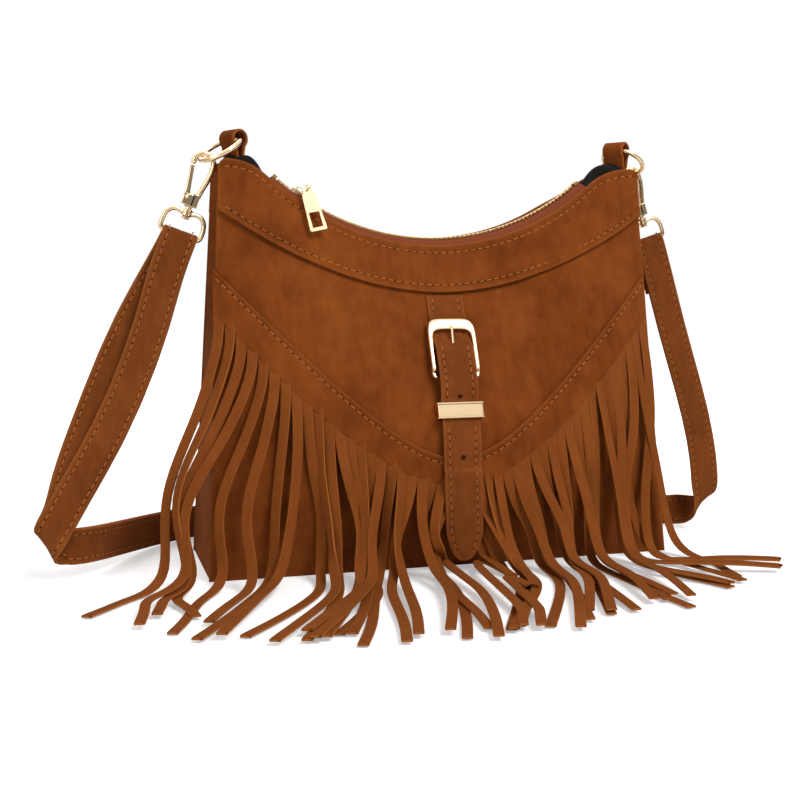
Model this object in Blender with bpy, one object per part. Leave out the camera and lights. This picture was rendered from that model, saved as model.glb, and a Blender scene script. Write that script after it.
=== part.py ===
# Fringed suede shoulder bag: soft body with a V-shaped fringe flap, a belt with a buckle down the front,
# a zip along the sagging mouth, and a long strap clipped to a ring at each end with a swivel snap hook.
# Metres, +Z up, X across the bag, the front faces -Y, origin at the middle of the base on the floor.

import bpy
import bmesh
import numpy as np
from mathutils import Matrix
from math import radians, pi, sin, cos, tan, sqrt

# Body
BASE_HALF = 0.141          # half the width at the floor
TOP_HALF = 0.129           # half the width at the top corners
CORNER_Z = 0.2355          # height of the top corners
CORNER_R = 0.005           # rounding of the top corners
MOUTH_R = 0.150            # radius of the sagging mouth edge, front
MOUTH_LOW_Z = 0.188        # lowest point of the front mouth edge
MOUTH_ARC_X = 0.100        # the mouth edge is round out to here
BACK_RISE = 0.005          # the back mouth edge stands this much higher
BASE_DEPTH = 0.041         # half the depth at the floor
CORNER_DEPTH = 0.0143      # half the depth at the top corners
MOUTH_DEPTH = 0.009        # half the depth at the middle of the mouth
MOUTH_SLOPE = 0.45         # how fast the front widens below the mouth
BELLY = 0.022              # how far the middle of the front swells out
BACK_BELLY = 0.012
GAP = 0.0003               # clearance between touching pieces
SEAM_GAP = 0.0006          # clearance under the yokes and the flap, which lie on curved pieces
SKIN = 0.0016              # suede with its backing
YOKE_T = 0.0018
FLAP_T = 0.0014
GUSSET_FOLD = 0.010        # how far the gussets fold inward at the top
GUSSET_TOP = 0.230
LINING_T = 0.0008
LINING_GAP = 0.0016

# Yoke seam and fringe flap
YOKE_LOW_Z = 0.160
YOKE_RISE = 0.0495
FLAP_LOW_Z = 0.067
FLAP_SLOPE = 1.10
FLAP_ROUND = 0.048
BAND_MID = 0.014           # height of the uncut band at the middle
BAND_SIDE = 0.011          # added towards the sides
STRANDS = 46
STRAND_W = 0.0050
STRAND_STEPS = 11

# Belt and buckle
BELT_X = 0.0015
BELT_W = 0.0225
BELT_T = 0.0018
BELT_TIP_Z = 0.008
BUCKLE_TOP_Z = 0.1452
BAR_Z = 0.1123
BAR_OFF = 0.0041
BAR_R = 0.0010
BUCKLE_W = 0.0290
BUCKLE_ARM = 0.0026
BUCKLE_RIM = 0.0065
PRONG_R = 0.0007
PRONG_TIP_Z = 0.1420
KEEPER_Z = 0.0919
KEEPER_H = 0.0094
KEEPER_WALL = 0.0009
CHAPE_T = 0.0012

# Zip
ZIP_RISE = 0.003           # the chain stands this much above the front mouth edge
ZIP_ANGLE = 41.0           # half the angle the zip covers
TAPE_T = 0.0006
TAPE_FLAT = 0.0046         # the tape is level out to here
TAPE_TUCK = 0.0040         # how far its front edge turns down behind the front yoke
TEETH_W = 0.0048
TEETH_H = 0.0015
TEETH_PITCH = 0.0042
SLIDER_ANGLE = -33.3
SLIDER_L = 0.0110
SLIDER_PLATE = 0.0010
SLIDER_CLEAR = 0.0005
BAIL_R = 0.00075
BAIL_H = 0.0030
LINK_R = 0.0006
LINK_HALF = 0.0016
LINK_L = 0.0125
TAB_L = 0.0255
TAB_W = 0.0100
TAB_T = 0.0013
TAB_HOLE = 0.0013
TAB_TILT = 20.0            # the tab leans out over the yoke

# Rings, hooks and strap
BORE_R = 0.0040            # inside of the loop tabs
TAB_WIDTH = 0.0140
TAB_TOP_Z = 0.2475         # height of the loop tab's bore
RING_R = 0.0125
RING_WIRE = 0.0015
RING_DROP = 33.0           # how far the rings hang below level
HOOK_WIRE = 0.0016
BIGHT_R = 0.0056
HOOK_GAP = 0.0006
BLOCK_TOP = 0.0200
BLOCK_LOW = 0.0273
RIVET_R = 0.0008
GATE_HALF = 0.0011
PIN_ASIDE = 0.0030         # the gate's rivet, beside and below where the hook hangs
PIN_DOWN = 0.0228
BOSS_R = 0.0029
STEM_R = 0.0015
SWIVEL_GAP = 0.00025
EYE_WIRE = 0.0014
EYE_HALF = 0.01185
EYE_BAR = 0.0445
STRAP_W = 0.0200
STRAP_T = 0.0020
FOLD_R = 0.0080            # radius of the strap's turns on the floor
LAYER_GAP = 0.0006

ZIP_CENTRE_Z = MOUTH_LOW_Z + MOUTH_R
ZIP_R = MOUTH_R - ZIP_RISE

COLOURS = {
    "suede": ((0.22, 0.085, 0.022, 1.0), 0.0, 0.95),
    "suede_dark": ((0.16, 0.055, 0.016, 1.0), 0.0, 0.95),
    "tape": ((0.25, 0.075, 0.030, 1.0), 0.0, 0.85),
    "gold": ((0.80, 0.60, 0.38, 1.0), 1.0, 0.22),
    "black": ((0.012, 0.012, 0.012, 1.0), 0.0, 0.60),
}


def clear_scene():
    for obj in list(bpy.data.objects):
        bpy.data.objects.remove(obj, do_unlink=True)


def material(name, look):
    colour, metallic, roughness = COLOURS[look]
    mat = bpy.data.materials.new(name)
    mat.use_nodes = True
    shader = mat.node_tree.nodes["Principled BSDF"]
    shader.inputs["Base Color"].default_value = colour
    shader.inputs["Metallic"].default_value = metallic
    shader.inputs["Roughness"].default_value = roughness
    mat.diffuse_color = colour
    return mat


def make(name, verts, faces, look):
    mesh = bpy.data.meshes.new(name)
    mesh.from_pydata([tuple(float(c) for c in v) for v in verts], [], [tuple(int(i) for i in f) for f in faces])
    work = bmesh.new()
    work.from_mesh(mesh)
    bmesh.ops.triangulate(work, faces=[f for f in work.faces if len(f.verts) > 4])
    bmesh.ops.recalc_face_normals(work, faces=work.faces)
    work.to_mesh(mesh)
    work.free()
    obj = bpy.data.objects.new(name, mesh)
    bpy.context.scene.collection.objects.link(obj)
    obj.data.materials.append(material(name, look))
    return obj


def combine(target, others, operation):
    """Join or cut with exact Booleans; the helpers are removed afterwards."""
    for other in others:
        step = target.modifiers.new("step", "BOOLEAN")
        step.operation = operation
        step.solver = "EXACT"
        step.object = other
        graph = bpy.context.evaluated_depsgraph_get()
        done = bpy.data.meshes.new_from_object(target.evaluated_get(graph))
        target.modifiers.clear()
        old = target.data
        target.data = done
        bpy.data.meshes.remove(old)
        bpy.data.objects.remove(other, do_unlink=True)
    return target


def unit(v):
    v = np.asarray(v, float)
    return v / np.linalg.norm(v)


def smooth(value, low, high):
    """Ease from 0 at low to 1 at high."""
    t = np.clip((np.asarray(value, float) - low) / (high - low), 0.0, 1.0)
    return t * t * (3.0 - 2.0 * t)


def bspline(control, count):
    """A smooth curve through the first and last control point, inside the hull of the others."""
    p = np.asarray(control, float)
    p = np.vstack([p[:1], p[:1], p, p[-1:], p[-1:]])
    segments = len(p) - 3
    t = np.linspace(0.0, segments, count)
    k = np.minimum(t.astype(int), segments - 1)
    f = (t - k)[:, None]
    a = (1 - f) ** 3 / 6
    b = (3 * f ** 3 - 6 * f ** 2 + 4) / 6
    c = (-3 * f ** 3 + 3 * f ** 2 + 3 * f + 1) / 6
    d = f ** 3 / 6
    return a * p[k] + b * p[k + 1] + c * p[k + 2] + d * p[k + 3]


def thick(front, back, quads):
    """Close two matching sheets into one solid along the open edges of the quads."""
    count = len(front)
    verts = np.vstack([front, back])
    faces = []
    edges = {}
    for q in quads:
        faces.append(tuple(q))
        faces.append(tuple(i + count for i in reversed(q)))
        for n in range(len(q)):
            a = q[n]
            b = q[(n + 1) % len(q)]
            key = (min(a, b), max(a, b))
            if key in edges:
                edges.pop(key)
            else:
                edges[key] = (a, b)
    for a, b in edges.values():
        faces.append((b, a, a + count, b + count))
    return verts, faces


def slab(front, back):
    """A solid between two matching grids of points."""
    rows, cols = front.shape[:2]
    quads = []
    for i in range(rows - 1):
        for j in range(cols - 1):
            a = i * cols + j
            quads.append((a, a + 1, a + cols + 1, a + cols))
    return thick(front.reshape(-1, 3), back.reshape(-1, 3), quads)


def loft(rings, closed=False):
    """Skin a row of equal rings of points; the ends are capped unless the row closes on itself."""
    count = len(rings)
    size = len(rings[0])
    verts = np.vstack(rings)
    faces = []
    last = count if closed else count - 1
    for i in range(last):
        k = (i + 1) % count
        for j in range(size):
            m = (j + 1) % size
            faces.append((i * size + j, i * size + m, k * size + m, k * size + j))
    if not closed:
        faces.append(tuple(range(size)))
        faces.append(tuple(reversed(range((count - 1) * size, count * size))))
    return verts, faces


def tube(path, radius, sides=10, closed=False, up=(0.0, 1.0, 0.0)):
    path = np.asarray(path, float)
    count = len(path)
    rings = []
    for i in range(count):
        if closed:
            t = unit(path[(i + 1) % count] - path[i - 1])
        else:
            t = unit(path[min(i + 1, count - 1)] - path[max(i - 1, 0)])
        side = unit(np.cross(t, up))
        over = np.cross(side, t)
        angle = np.linspace(0, 2 * pi, sides, endpoint=False)[:, None]
        rings.append(path[i] + radius * (np.cos(angle) * side + np.sin(angle) * over))
    return loft(rings, closed)


def rod(start, end, radius, sides=14):
    start = np.asarray(start, float)
    end = np.asarray(end, float)
    t = unit(end - start)
    up = (0.0, 1.0, 0.0) if abs(t[1]) < 0.8 else (1.0, 0.0, 0.0)
    return tube([start, end], radius, sides, False, up)


def brick(centre, axes, halves):
    centre = np.asarray(centre, float)
    a, b, c = [np.asarray(v, float) * h for v, h in zip(axes, halves)]
    ring = [(-1, -1), (1, -1), (1, 1), (-1, 1)]
    rings = [np.array([centre + p * a + q * b + r * c for p, q in ring]) for r in (-1, 1)]
    return loft(rings)


def half_width(z):
    """Half the width of the body at a height."""
    return BASE_HALF + (TOP_HALF - BASE_HALF) * np.asarray(z, float) / CORNER_Z


def mouth_z(x, rise=0.0):
    """Height of the mouth edge: round in the middle, easing up to level, rounded corners."""
    x = np.abs(np.asarray(x, float))
    radius = MOUTH_R - rise
    inner = ZIP_CENTRE_Z - np.sqrt(np.maximum(radius ** 2 - np.minimum(x, MOUTH_ARC_X) ** 2, 0.0))
    start = ZIP_CENTRE_Z - sqrt(radius ** 2 - MOUTH_ARC_X ** 2)
    slope = MOUTH_ARC_X / sqrt(radius ** 2 - MOUTH_ARC_X ** 2)
    span = TOP_HALF - MOUTH_ARC_X
    t = np.clip((x - MOUTH_ARC_X) / span, 0.0, 1.0)
    ease = (2 * t ** 3 - 3 * t ** 2 + 1) * start + (t ** 3 - 2 * t ** 2 + t) * slope * span
    ease = ease + (-2 * t ** 3 + 3 * t ** 2) * CORNER_Z
    z = np.where(x > MOUTH_ARC_X, ease, inner)
    near = np.clip(x - (TOP_HALF - CORNER_R), 0.0, CORNER_R * 0.98)
    return z - (CORNER_R - np.sqrt(CORNER_R ** 2 - near ** 2))


def yoke_z(x):
    """Height of the lower edge of the yoke."""
    return YOKE_LOW_Z + YOKE_RISE * (np.abs(x) / 0.134) ** 1.9


def flap_z(x):
    """Height of the folded upper edge of the fringe flap: two slopes with a round between."""
    x = np.asarray(x, float)
    return FLAP_LOW_Z + np.sqrt((FLAP_SLOPE * x) ** 2 + FLAP_ROUND ** 2) - FLAP_ROUND


def slit_z(x):
    """Height where the fringe is cut up to."""
    return flap_z(x) - BAND_MID - BAND_SIDE * np.minimum(np.abs(x) / 0.08, 1.0)


def depth(x, z, belly=BELLY):
    """Half the depth of the body: the mouth's own slope and a swelling belly, blended at the lesser."""
    x = np.asarray(x, float)
    z = np.asarray(z, float)
    side = BASE_DEPTH - (BASE_DEPTH - CORNER_DEPTH) * z / CORNER_Z
    across = np.clip(1.0 - (x / half_width(z)) ** 2, 0.0, 1.0)
    top = mouth_z(np.minimum(np.abs(x), TOP_HALF - CORNER_R))
    part = np.clip(z / top, 0.0, 1.0)
    low = side + belly * across ** 0.8 * np.sin(pi * part ** 0.75)
    below = np.hypot(x, z - ZIP_CENTRE_Z) - MOUTH_R
    high = MOUTH_DEPTH + MOUTH_SLOPE * np.maximum(below, -0.001) + 0.25 * np.maximum(np.abs(x) - 0.105, 0.0)
    blend = 0.006
    mix = np.clip(0.5 + 0.5 * (high - low) / blend, 0.0, 1.0)
    return high + (low - high) * mix - blend * mix * (1.0 - mix)


def front_y(x, z, off=0.0):
    return -(depth(x, z) + off)


def back_y(x, z, off=0.0):
    return depth(x, z, BACK_BELLY) + off


def panel(name, side, low, high, off, thickness, columns, rows, look):
    """A piece of the front (side -1) or back (side 1) between two height curves of x."""
    u = np.linspace(-1.0, 1.0, columns)
    v = np.linspace(0.0, 1.0, rows)
    outer = np.zeros((columns, rows, 3))
    inner = np.zeros((columns, rows, 3))
    for i in range(columns):
        for j in range(rows):
            x = u[i] * TOP_HALF
            z = 0.0
            for _ in range(4):
                z = low(x) + (high(x) - low(x)) * v[j]
                x = u[i] * half_width(z)
            y = front_y(x, z) if side < 0 else back_y(x, z)
            outer[i, j] = (x, y + side * (off + thickness), z)
            inner[i, j] = (x, y + side * off, z)
    verts, faces = slab(outer, inner)
    return make(name, verts, faces, look)


def body_panels():
    flat = lambda x: 0.0
    tuck = lambda x: yoke_z(x) + 0.006
    panel("front_panel", -1, flat, tuck, -SKIN, SKIN, 27, 11, "suede")
    panel("back_panel", 1, flat, tuck, -SKIN, SKIN, 19, 8, "suede")
    panel("front_yoke", -1, yoke_z, mouth_z, SEAM_GAP, YOKE_T, 41, 4, "suede")
    high = lambda x: mouth_z(x, BACK_RISE * (1.0 - float(smooth(abs(x), 0.07, 0.115))))
    panel("back_yoke", 1, yoke_z, high, SEAM_GAP, YOKE_T, 35, 3, "suede")


def fold(z):
    """How far the middle of a gusset folds inward."""
    return GUSSET_FOLD * float(smooth(z, 0.06, GUSSET_TOP))


def gusset(name, side):
    levels = np.linspace(SKIN + GAP, GUSSET_TOP, 9)
    across = np.linspace(-1.0, 1.0, 7)
    outer = np.zeros((9, 7, 3))
    inner = np.zeros((9, 7, 3))
    for i, z in enumerate(levels):
        reach = float(depth(half_width(z), z)) - SKIN - GAP
        for j, v in enumerate(across):
            x = float(half_width(z)) - fold(z) * (1.0 - abs(v)) - 0.0004
            outer[i, j] = (side * x, v * reach, z)
            inner[i, j] = (side * (x - SKIN), v * reach, z)
    verts, faces = slab(outer, inner)
    return make(name, verts, faces, "suede")


def base_panel():
    half = float(half_width(0.0)) - 0.0004
    reach = BASE_DEPTH - SKIN - GAP
    verts, faces = brick((0, 0, SKIN / 2), np.eye(3), (half, reach, SKIN / 2))
    return make("base_panel", verts, faces, "suede")


def lining():
    """A black sack just inside the body, open at the mouth, its ends folded in with the gussets."""
    count = 17

    def ring(v, inset):
        floor = SKIN + LINING_GAP + (inset - LINING_GAP)
        points = []
        u = np.linspace(-1.0, 1.0, count)
        for turn in (-1, 1):
            for k in u:
                x = k * TOP_HALF
                z = floor
                for _ in range(4):
                    wide = min(x, TOP_HALF - CORNER_R, key=abs) if abs(x) > TOP_HALF - CORNER_R else x
                    high = min(float(mouth_z(wide)) - 0.006, GUSSET_TOP)
                    z = floor + (high - floor) * v
                    x = k * (float(half_width(z)) - SKIN - inset - 0.0004 - 0.2 * fold(z))
                y = front_y(x, z, -SKIN - inset) if turn < 0 else back_y(x, z, -SKIN - inset)
                points.append((x, y, z, k))
            u = u[::-1]
        front = points[:count]
        back = points[count:]
        loop = [p[:3] for p in front]
        a = np.array(front[-1][:3])
        b = np.array(back[0][:3])
        loop.append(tuple((a + b) / 2 - np.array((fold((a[2] + b[2]) / 2), 0, 0))))
        loop += [p[:3] for p in back]
        a = np.array(back[-1][:3])
        b = np.array(front[0][:3])
        loop.append(tuple((a + b) / 2 + np.array((fold((a[2] + b[2]) / 2), 0, 0))))
        return np.array(loop)

    levels = np.linspace(0.0, 1.0, 8) ** 1.5
    outside = [ring(v, LINING_GAP) for v in levels]
    inside = [ring(v, LINING_GAP + LINING_T) for v in levels]
    rings = outside + inside[::-1]
    verts, faces = loft(rings)
    return make("lining", verts, faces, "black")


def sway(s):
    """Sideways flow of the fringe along the flap: at mid height, low down, and at the tips."""
    mid = 0.006 * np.sin(2 * pi * (s * 1.6 + 0.05)) - 0.016 * smooth(1 - s, 0.72, 1.0)
    low = 0.010 * np.sin(2 * pi * (s * 1.5 + 0.30)) - 0.030 * smooth(1 - s, 0.70, 1.0)
    return mid, low


def strand_path(index):
    """Centre line of one strand: down from its slit, out over the floor, and forward to its tip."""
    s = (index + 0.5) / STRANDS
    x0 = -0.1345 + 0.2655 * s
    z0 = float(slit_z(x0))
    y0 = float(front_y(x0, z0, SEAM_GAP + FLAP_T / 2))
    odd = index % 2
    mid, low = sway(s)
    tip_x = -0.202 + 0.350 * s + 0.018 * float(smooth(s, 0.93, 1.0))
    tip_y = -0.080 - 0.098 * float(sin(pi * min(max(s, 0.0), 1.0))) ** 0.55
    spread = np.sign(x0) * 0.012 * max(0.0, 1.0 - abs(x0) / 0.06)
    lay = FLAP_T / 2 + 0.0006 + 0.0024 * odd
    front = min(float(front_y(x0, 0.08)), y0) - 0.002 - 0.002 * odd
    land = front - 0.010 - 0.008 * odd
    path = [
        (x0, y0, z0),
        (x0, y0 - 0.0006, z0 * 0.90),
        (x0 + spread * 0.8 + mid * 0.5, min(y0, front + 0.002) - 0.0004, z0 * 0.62),
        (x0 + spread + mid + low * 0.3, front, z0 * 0.30 + 0.004),
        (x0 + spread + low * 0.6 + (tip_x - x0) * 0.15, land + 0.004, lay + 0.0005),
        (x0 + spread * 0.8 + low + (tip_x - x0) * 0.35, land - 0.022, lay),
        (tip_x * 0.7 + x0 * 0.3 + low * 0.4, tip_y * 0.7 + land * 0.3, lay),
        (tip_x, tip_y, lay),
    ]
    path = bspline(path, STRAND_STEPS + 1)
    for p in path:
        if abs(p[0]) < half_width(p[2]) + 0.004:
            clear = FLAP_T / 2 + SEAM_GAP + (0.0012 + 0.0020 * odd) * float(smooth(z0 - p[2], 0.0, 0.012))
            p[1] = min(p[1], float(front_y(np.clip(p[0], -half_width(p[2]), half_width(p[2])), p[2], clear)))
        if abs(p[0] - BELT_X) < BELT_W / 2 + 0.004 and p[2] > 0.0060:
            p[1] = max(p[1], belt_y(max(p[2], BELT_TIP_Z)) + 0.0006 + FLAP_T / 2)
    return path


def fringe_flap():
    """The V-shaped flap with its fringe, one cut sheet."""
    pitch = 0.2655 / STRANDS
    columns = []
    for i in range(STRANDS):
        x = -0.1345 + pitch * (i + 0.5)
        columns += [x - STRAND_W / 2, x + STRAND_W / 2]
    columns = np.array(columns)
    rows = 4
    front = []
    back = []
    quads = []
    count = len(columns)
    for r in range(rows):
        v = r / (rows - 1)
        for x in columns:
            z = float(flap_z(x)) * (1 - v) + float(slit_z(x)) * v
            y = float(front_y(x, z))
            front.append((x, y - SEAM_GAP - FLAP_T, z))
            back.append((x, y - SEAM_GAP, z))
    for r in range(rows - 1):
        for c in range(count - 1):
            a = r * count + c
            quads.append((a, a + 1, a + count + 1, a + count))
    base = (rows - 1) * count
    for i in range(STRANDS):
        path = strand_path(i)
        left = base + 2 * i
        right = left + 1
        for k in range(1, STRAND_STEPS + 1):
            t = unit(path[min(k + 1, STRAND_STEPS)] - path[k - 1])
            slope = float(front_y(path[0][0] + 0.003, path[k][2]) - front_y(path[0][0] - 0.003, path[k][2])) / 0.006
            lean = np.array((1.0, slope * (1.0 - float(smooth(path[0][2] - path[k][2], 0.015, 0.05))), 0.0))
            side = unit(lean - np.dot(lean, t) * t)
            normal = np.cross(side, t)
            if normal[1] > 0 or (abs(normal[1]) < 0.2 and normal[2] < 0):
                normal = -normal
            for edge in (-1, 1):
                middle = path[k] + edge * side * STRAND_W / 2
                front.append(tuple(middle + normal * FLAP_T / 2))
                back.append(tuple(middle - normal * FLAP_T / 2))
            new = len(front) - 2
            quads.append((left, right, new + 1, new))
            left = new
            right = new + 1
    verts, faces = thick(np.array(front), np.array(back), quads)
    return make("fringe_flap", verts, faces, "suede")


def belt_offset(z):
    """How far the belt's inner face stands off the front at a height."""
    heights = (BELT_TIP_Z, 0.060, 0.078, 0.088, 0.0995, 0.1035, 0.1080, BAR_Z, 0.1210, 0.1290, 0.1345, 0.1395, 0.150, 0.160)
    offsets = (0.0032, 0.0032, 0.0034, 0.0038, 0.0042, 0.0064, 0.0077, 0.0079, 0.0079, 0.0076, 0.0022, 0.0014, 0.0005, 0.0004)
    return float(np.interp(z, heights, offsets))


def belt_y(z):
    """Inner face of the belt: on the front down to the belly, then hanging straight."""
    low = 0.060
    if z >= low:
        return float(front_y(BELT_X, z, belt_offset(z)))
    return float(front_y(BELT_X, low, belt_offset(low))) - 0.0022 * float(smooth(low - z, 0.0, 0.04)) - 0.0014


def belt_strap():
    heights = np.concatenate([np.linspace(0.0085, 0.030, 8), np.linspace(0.036, 0.094, 12), np.linspace(0.0965, 0.150, 24), [0.1585]])
    inner = []
    outer = []
    for z in heights:
        taper = sqrt(max(0.0, 1.0 - ((0.027 - min(z, 0.027)) / 0.0192) ** 2))
        half = max(BELT_W / 2 * taper, 0.0012)
        y = belt_y(z)
        row = [(BELT_X + half * k, y, z) for k in (-1, -0.33, 0.33, 1)]
        inner.append(row)
        outer.append([(p[0], p[1] - BELT_T, p[2]) for p in row])
    verts, faces = slab(np.array(outer), np.array(inner))
    belt = make("belt_strap", verts, faces, "suede")
    cutters = []
    for z in (0.1018, 0.0672):
        y = belt_y(z)
        v, f = rod((BELT_X, y + 0.004, z), (BELT_X, y - 0.006, z), 0.0013, 12)
        cutters.append(make("cut", v, f, "suede"))
    y = belt_y(0.1320)
    v, f = brick((BELT_X, y, 0.1320), np.eye(3), (0.0013, 0.008, 0.0042))
    cutters.append(make("cut", v, f, "suede"))
    return combine(belt, cutters, "DIFFERENCE")


def buckle_plane(z):
    """The flat plane the buckle lies in, as an offset base line over the curved front."""
    low = float(front_y(BELT_X, BAR_Z))
    high = float(front_y(BELT_X, 0.140))
    return low + (high - low) * (z - BAR_Z) / (0.140 - BAR_Z)


def buckle_frame():
    """Horseshoe frame with a deep rim at the top and a thin bar across the bottom."""
    half = BUCKLE_W / 2
    turns = np.linspace(0, 2 * pi, 44, endpoint=False)
    loops = [[], [], [], [], [], []]
    top = BUCKLE_TOP_Z
    low = BAR_Z
    for a in turns:
        c = cos(a)
        s = sin(a)
        power = 0.38 if s > 0 else 0.16
        mid = (top + low) / 2
        rise_out = (top - mid) if s > 0 else (mid - low + BAR_R)
        rise_in = (top - BUCKLE_RIM - mid) if s > 0 else (mid - low - BAR_R)
        ox = half * np.sign(c) * abs(c) ** power
        oz = mid + rise_out * np.sign(s) * abs(s) ** power
        within = 0.38 if s > 0 else 0.08
        ix = (half - BUCKLE_ARM) * np.sign(c) * abs(c) ** within
        iz = mid + rise_in * np.sign(s) * abs(s) ** within
        bar = float(smooth(low + 0.0050 - oz, 0.0, 0.003))
        back = BAR_OFF - BAR_R * bar
        front = back + 0.0027 - (0.0027 - 2 * BAR_R) * bar
        for loop, (x, z, off) in zip(loops, (
            (ox, oz, back), (ox, oz, (back + front) / 2), (ox * 0.8 + ix * 0.2, oz * 0.8 + iz * 0.2, front),
            (ox * 0.2 + ix * 0.8, oz * 0.2 + iz * 0.8, front), (ix, iz, (back + front) / 2), (ix, iz, back),
        )):
            loop.append((BELT_X + x, buckle_plane(z) - off, z))
    rings = [np.array([loop[k] for loop in loops]) for k in range(44)]
    verts, faces = loft(rings, closed=True)
    return make("buckle_frame", verts, faces, "gold")


def buckle_prong():
    """Tongue with a ring round the bar, up under the belt, out through its slot, onto the rim."""
    y0 = buckle_plane(BAR_Z) - BAR_OFF
    turn = BAR_R * 1.4142 + 0.0003 + PRONG_R
    path = []
    for a in np.linspace(radians(285), radians(-40), 16):
        path.append((BELT_X, y0 - turn * sin(a), BAR_Z + turn * cos(a)))
    start = np.array(path[0])
    path = [tuple(p) for p in path]
    tail = []
    for z, off in ((0.1165, 0.0052), (0.1220, 0.0054), (0.1280, 0.0060), (0.1340, 0.0069), (PRONG_TIP_Z, 0.0081)):
        tail.append((BELT_X, buckle_plane(z) - off, z))
    whole = bspline([path[0]] + path[1:-3] + tail, 26)
    verts, faces = tube(whole, PRONG_R, 8, False, (1.0, 0.0, 0.0))
    return make("buckle_prong", verts, faces, "gold")


def belt_chape():
    """Short strap that holds the buckle: up behind the bar, round it and down again, slotted for the prong."""
    turn = BAR_R * 1.4142 + 0.0005 + CHAPE_T / 2
    line = []
    for z in (0.0860, 0.0900, 0.0940, 0.0980, 0.1030, 0.1075):
        off = 0.0024 + (BAR_OFF - turn - 0.0024) * float(smooth(z, 0.098, 0.108))
        line.append((float(front_y(BELT_X, z, off)), z))
    y0 = buckle_plane(BAR_Z) - BAR_OFF
    for a in np.linspace(radians(180), radians(0), 9):
        line.append((y0 - turn * cos(a), BAR_Z + turn * sin(a)))
    for z in (0.1095, 0.1075):
        line.append((float(front_y(BELT_X, z, 0.0058)), z))
    line = np.array(line)
    rows = len(line)
    xs = np.array([-0.0098, -0.0012, 0.0012, 0.0098]) + BELT_X
    front = []
    back = []
    for k in range(rows):
        t = unit(line[min(k + 1, rows - 1)] - line[max(k - 1, 0)])
        normal = np.array((-t[1], t[0]))
        for x in xs:
            p = line[k] + normal * CHAPE_T / 2
            q = line[k] - normal * CHAPE_T / 2
            front.append((x, p[0], p[1]))
            back.append((x, q[0], q[1]))
    quads = []
    for k in range(rows - 1):
        for c in range(3):
            if c == 1 and 4 <= k < rows - 1:
                continue
            a = k * 4 + c
            quads.append((a, a + 1, a + 5, a + 4))
    verts, faces = thick(np.array(front), np.array(back), quads)
    used = sorted({i for f in faces for i in f})
    index = {v: i for i, v in enumerate(used)}
    verts = [verts[i] for i in used]
    faces = [tuple(index[i] for i in f) for f in faces]
    return make("belt_chape", verts, faces, "suede_dark")


def belt_keeper():
    """Flat metal loop round the belt and the chape."""
    z0 = KEEPER_Z
    y0 = float(front_y(BELT_X, z0))
    slope = (float(front_y(BELT_X, z0 + 0.004)) - float(front_y(BELT_X, z0 - 0.004))) / 0.008
    long_axis = unit((0, slope, 1))
    out = unit((0, -1, slope))
    wide = np.array((1.0, 0, 0))
    low = 0.0006
    high = 0.0072
    half = BELT_W / 2 + 0.0014
    rings = []
    for level in (-1, 1):
        centre = np.array((BELT_X - 0.0004, y0, z0)) + long_axis * level * KEEPER_H / 2
        outer = [(-half - KEEPER_WALL, low), (half + KEEPER_WALL, low), (half + KEEPER_WALL, high), (-half - KEEPER_WALL, high)]
        inner = [(-half, low + KEEPER_WALL), (half, low + KEEPER_WALL), (half, high - KEEPER_WALL), (-half, high - KEEPER_WALL)]
        rings.append([centre + wide * a + out * b for a, b in outer])
        rings.append([centre + wide * a + out * b for a, b in inner])
    order = [rings[0], rings[2], rings[3], rings[1]]
    verts, faces = loft([np.array(r) for r in order], closed=True)
    return make("belt_keeper", verts, faces, "gold")


def on_arc(angle, radius, y=0.0):
    """A point by the zip's arc: angle in radians from straight down, positive to the right."""
    return np.array((radius * sin(angle), y, ZIP_CENTRE_Z - radius * cos(angle)))


def zip_tape():
    """Tape under the teeth, reaching both yokes; its front edge turns down behind the front one."""
    angles = np.linspace(radians(-ZIP_ANGLE), radians(ZIP_ANGLE), 30)
    front = MOUTH_DEPTH + SEAM_GAP - GAP
    back = MOUTH_DEPTH + MOUTH_SLOPE * -0.001 + SEAM_GAP - GAP
    across = ((-front, TAPE_TUCK), (-TAPE_FLAT, 0.0), (TAPE_FLAT, 0.0), (back, 0.0))
    top = np.array([[on_arc(a, ZIP_R + d, y) for y, d in across] for a in angles])
    low = np.array([[on_arc(a, ZIP_R + d + TAPE_T, y) for y, d in across] for a in angles])
    verts, faces = slab(top, low)
    return make("zip_tape", verts, faces, "tape")


def zip_chain():
    """The closed row of metal teeth as one ribbed bar."""
    reach = radians(ZIP_ANGLE - 1.5)
    count = int(2 * reach * ZIP_R / TEETH_PITCH)
    rings = []
    low = ZIP_R - GAP
    step = 2 * reach / count
    for i in range(count):
        for part, height, wide in ((0.00, 1.0, 1.0), (0.55, 1.0, 1.0), (0.62, 0.55, 0.72), (0.93, 0.55, 0.72)):
            a = -reach + (i + part) * step
            half = TEETH_W / 2 * wide
            high = low - TEETH_H * height
            rings.append(np.array([on_arc(a, low, -half), on_arc(a, low, half), on_arc(a, high, half * 0.8), on_arc(a, high, -half * 0.8)]))
    verts, faces = loft(rings)
    return make("zip_chain", verts, faces, "gold")


def zip_stop(name, angle):
    low = ZIP_R - GAP
    centre = on_arc(radians(angle), low - TEETH_H * 0.6)
    along = np.array((cos(radians(angle)), 0, sin(radians(angle))))
    rise = np.array((-sin(radians(angle)), 0, cos(radians(angle))))
    verts, faces = brick(centre, (along, (0, 1, 0), rise), (0.0012, TEETH_W / 2, TEETH_H * 0.6))
    return make(name, verts, faces, "gold")


def slider_frame():
    a = radians(SLIDER_ANGLE)
    along = np.array((cos(a), 0, sin(a)))
    rise = np.array((-sin(a), 0, cos(a)))
    across = np.array((0.0, 1.0, 0.0))
    seat = on_arc(a, ZIP_R - GAP - TEETH_H - SLIDER_CLEAR)
    return seat, along, rise, across


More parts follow.
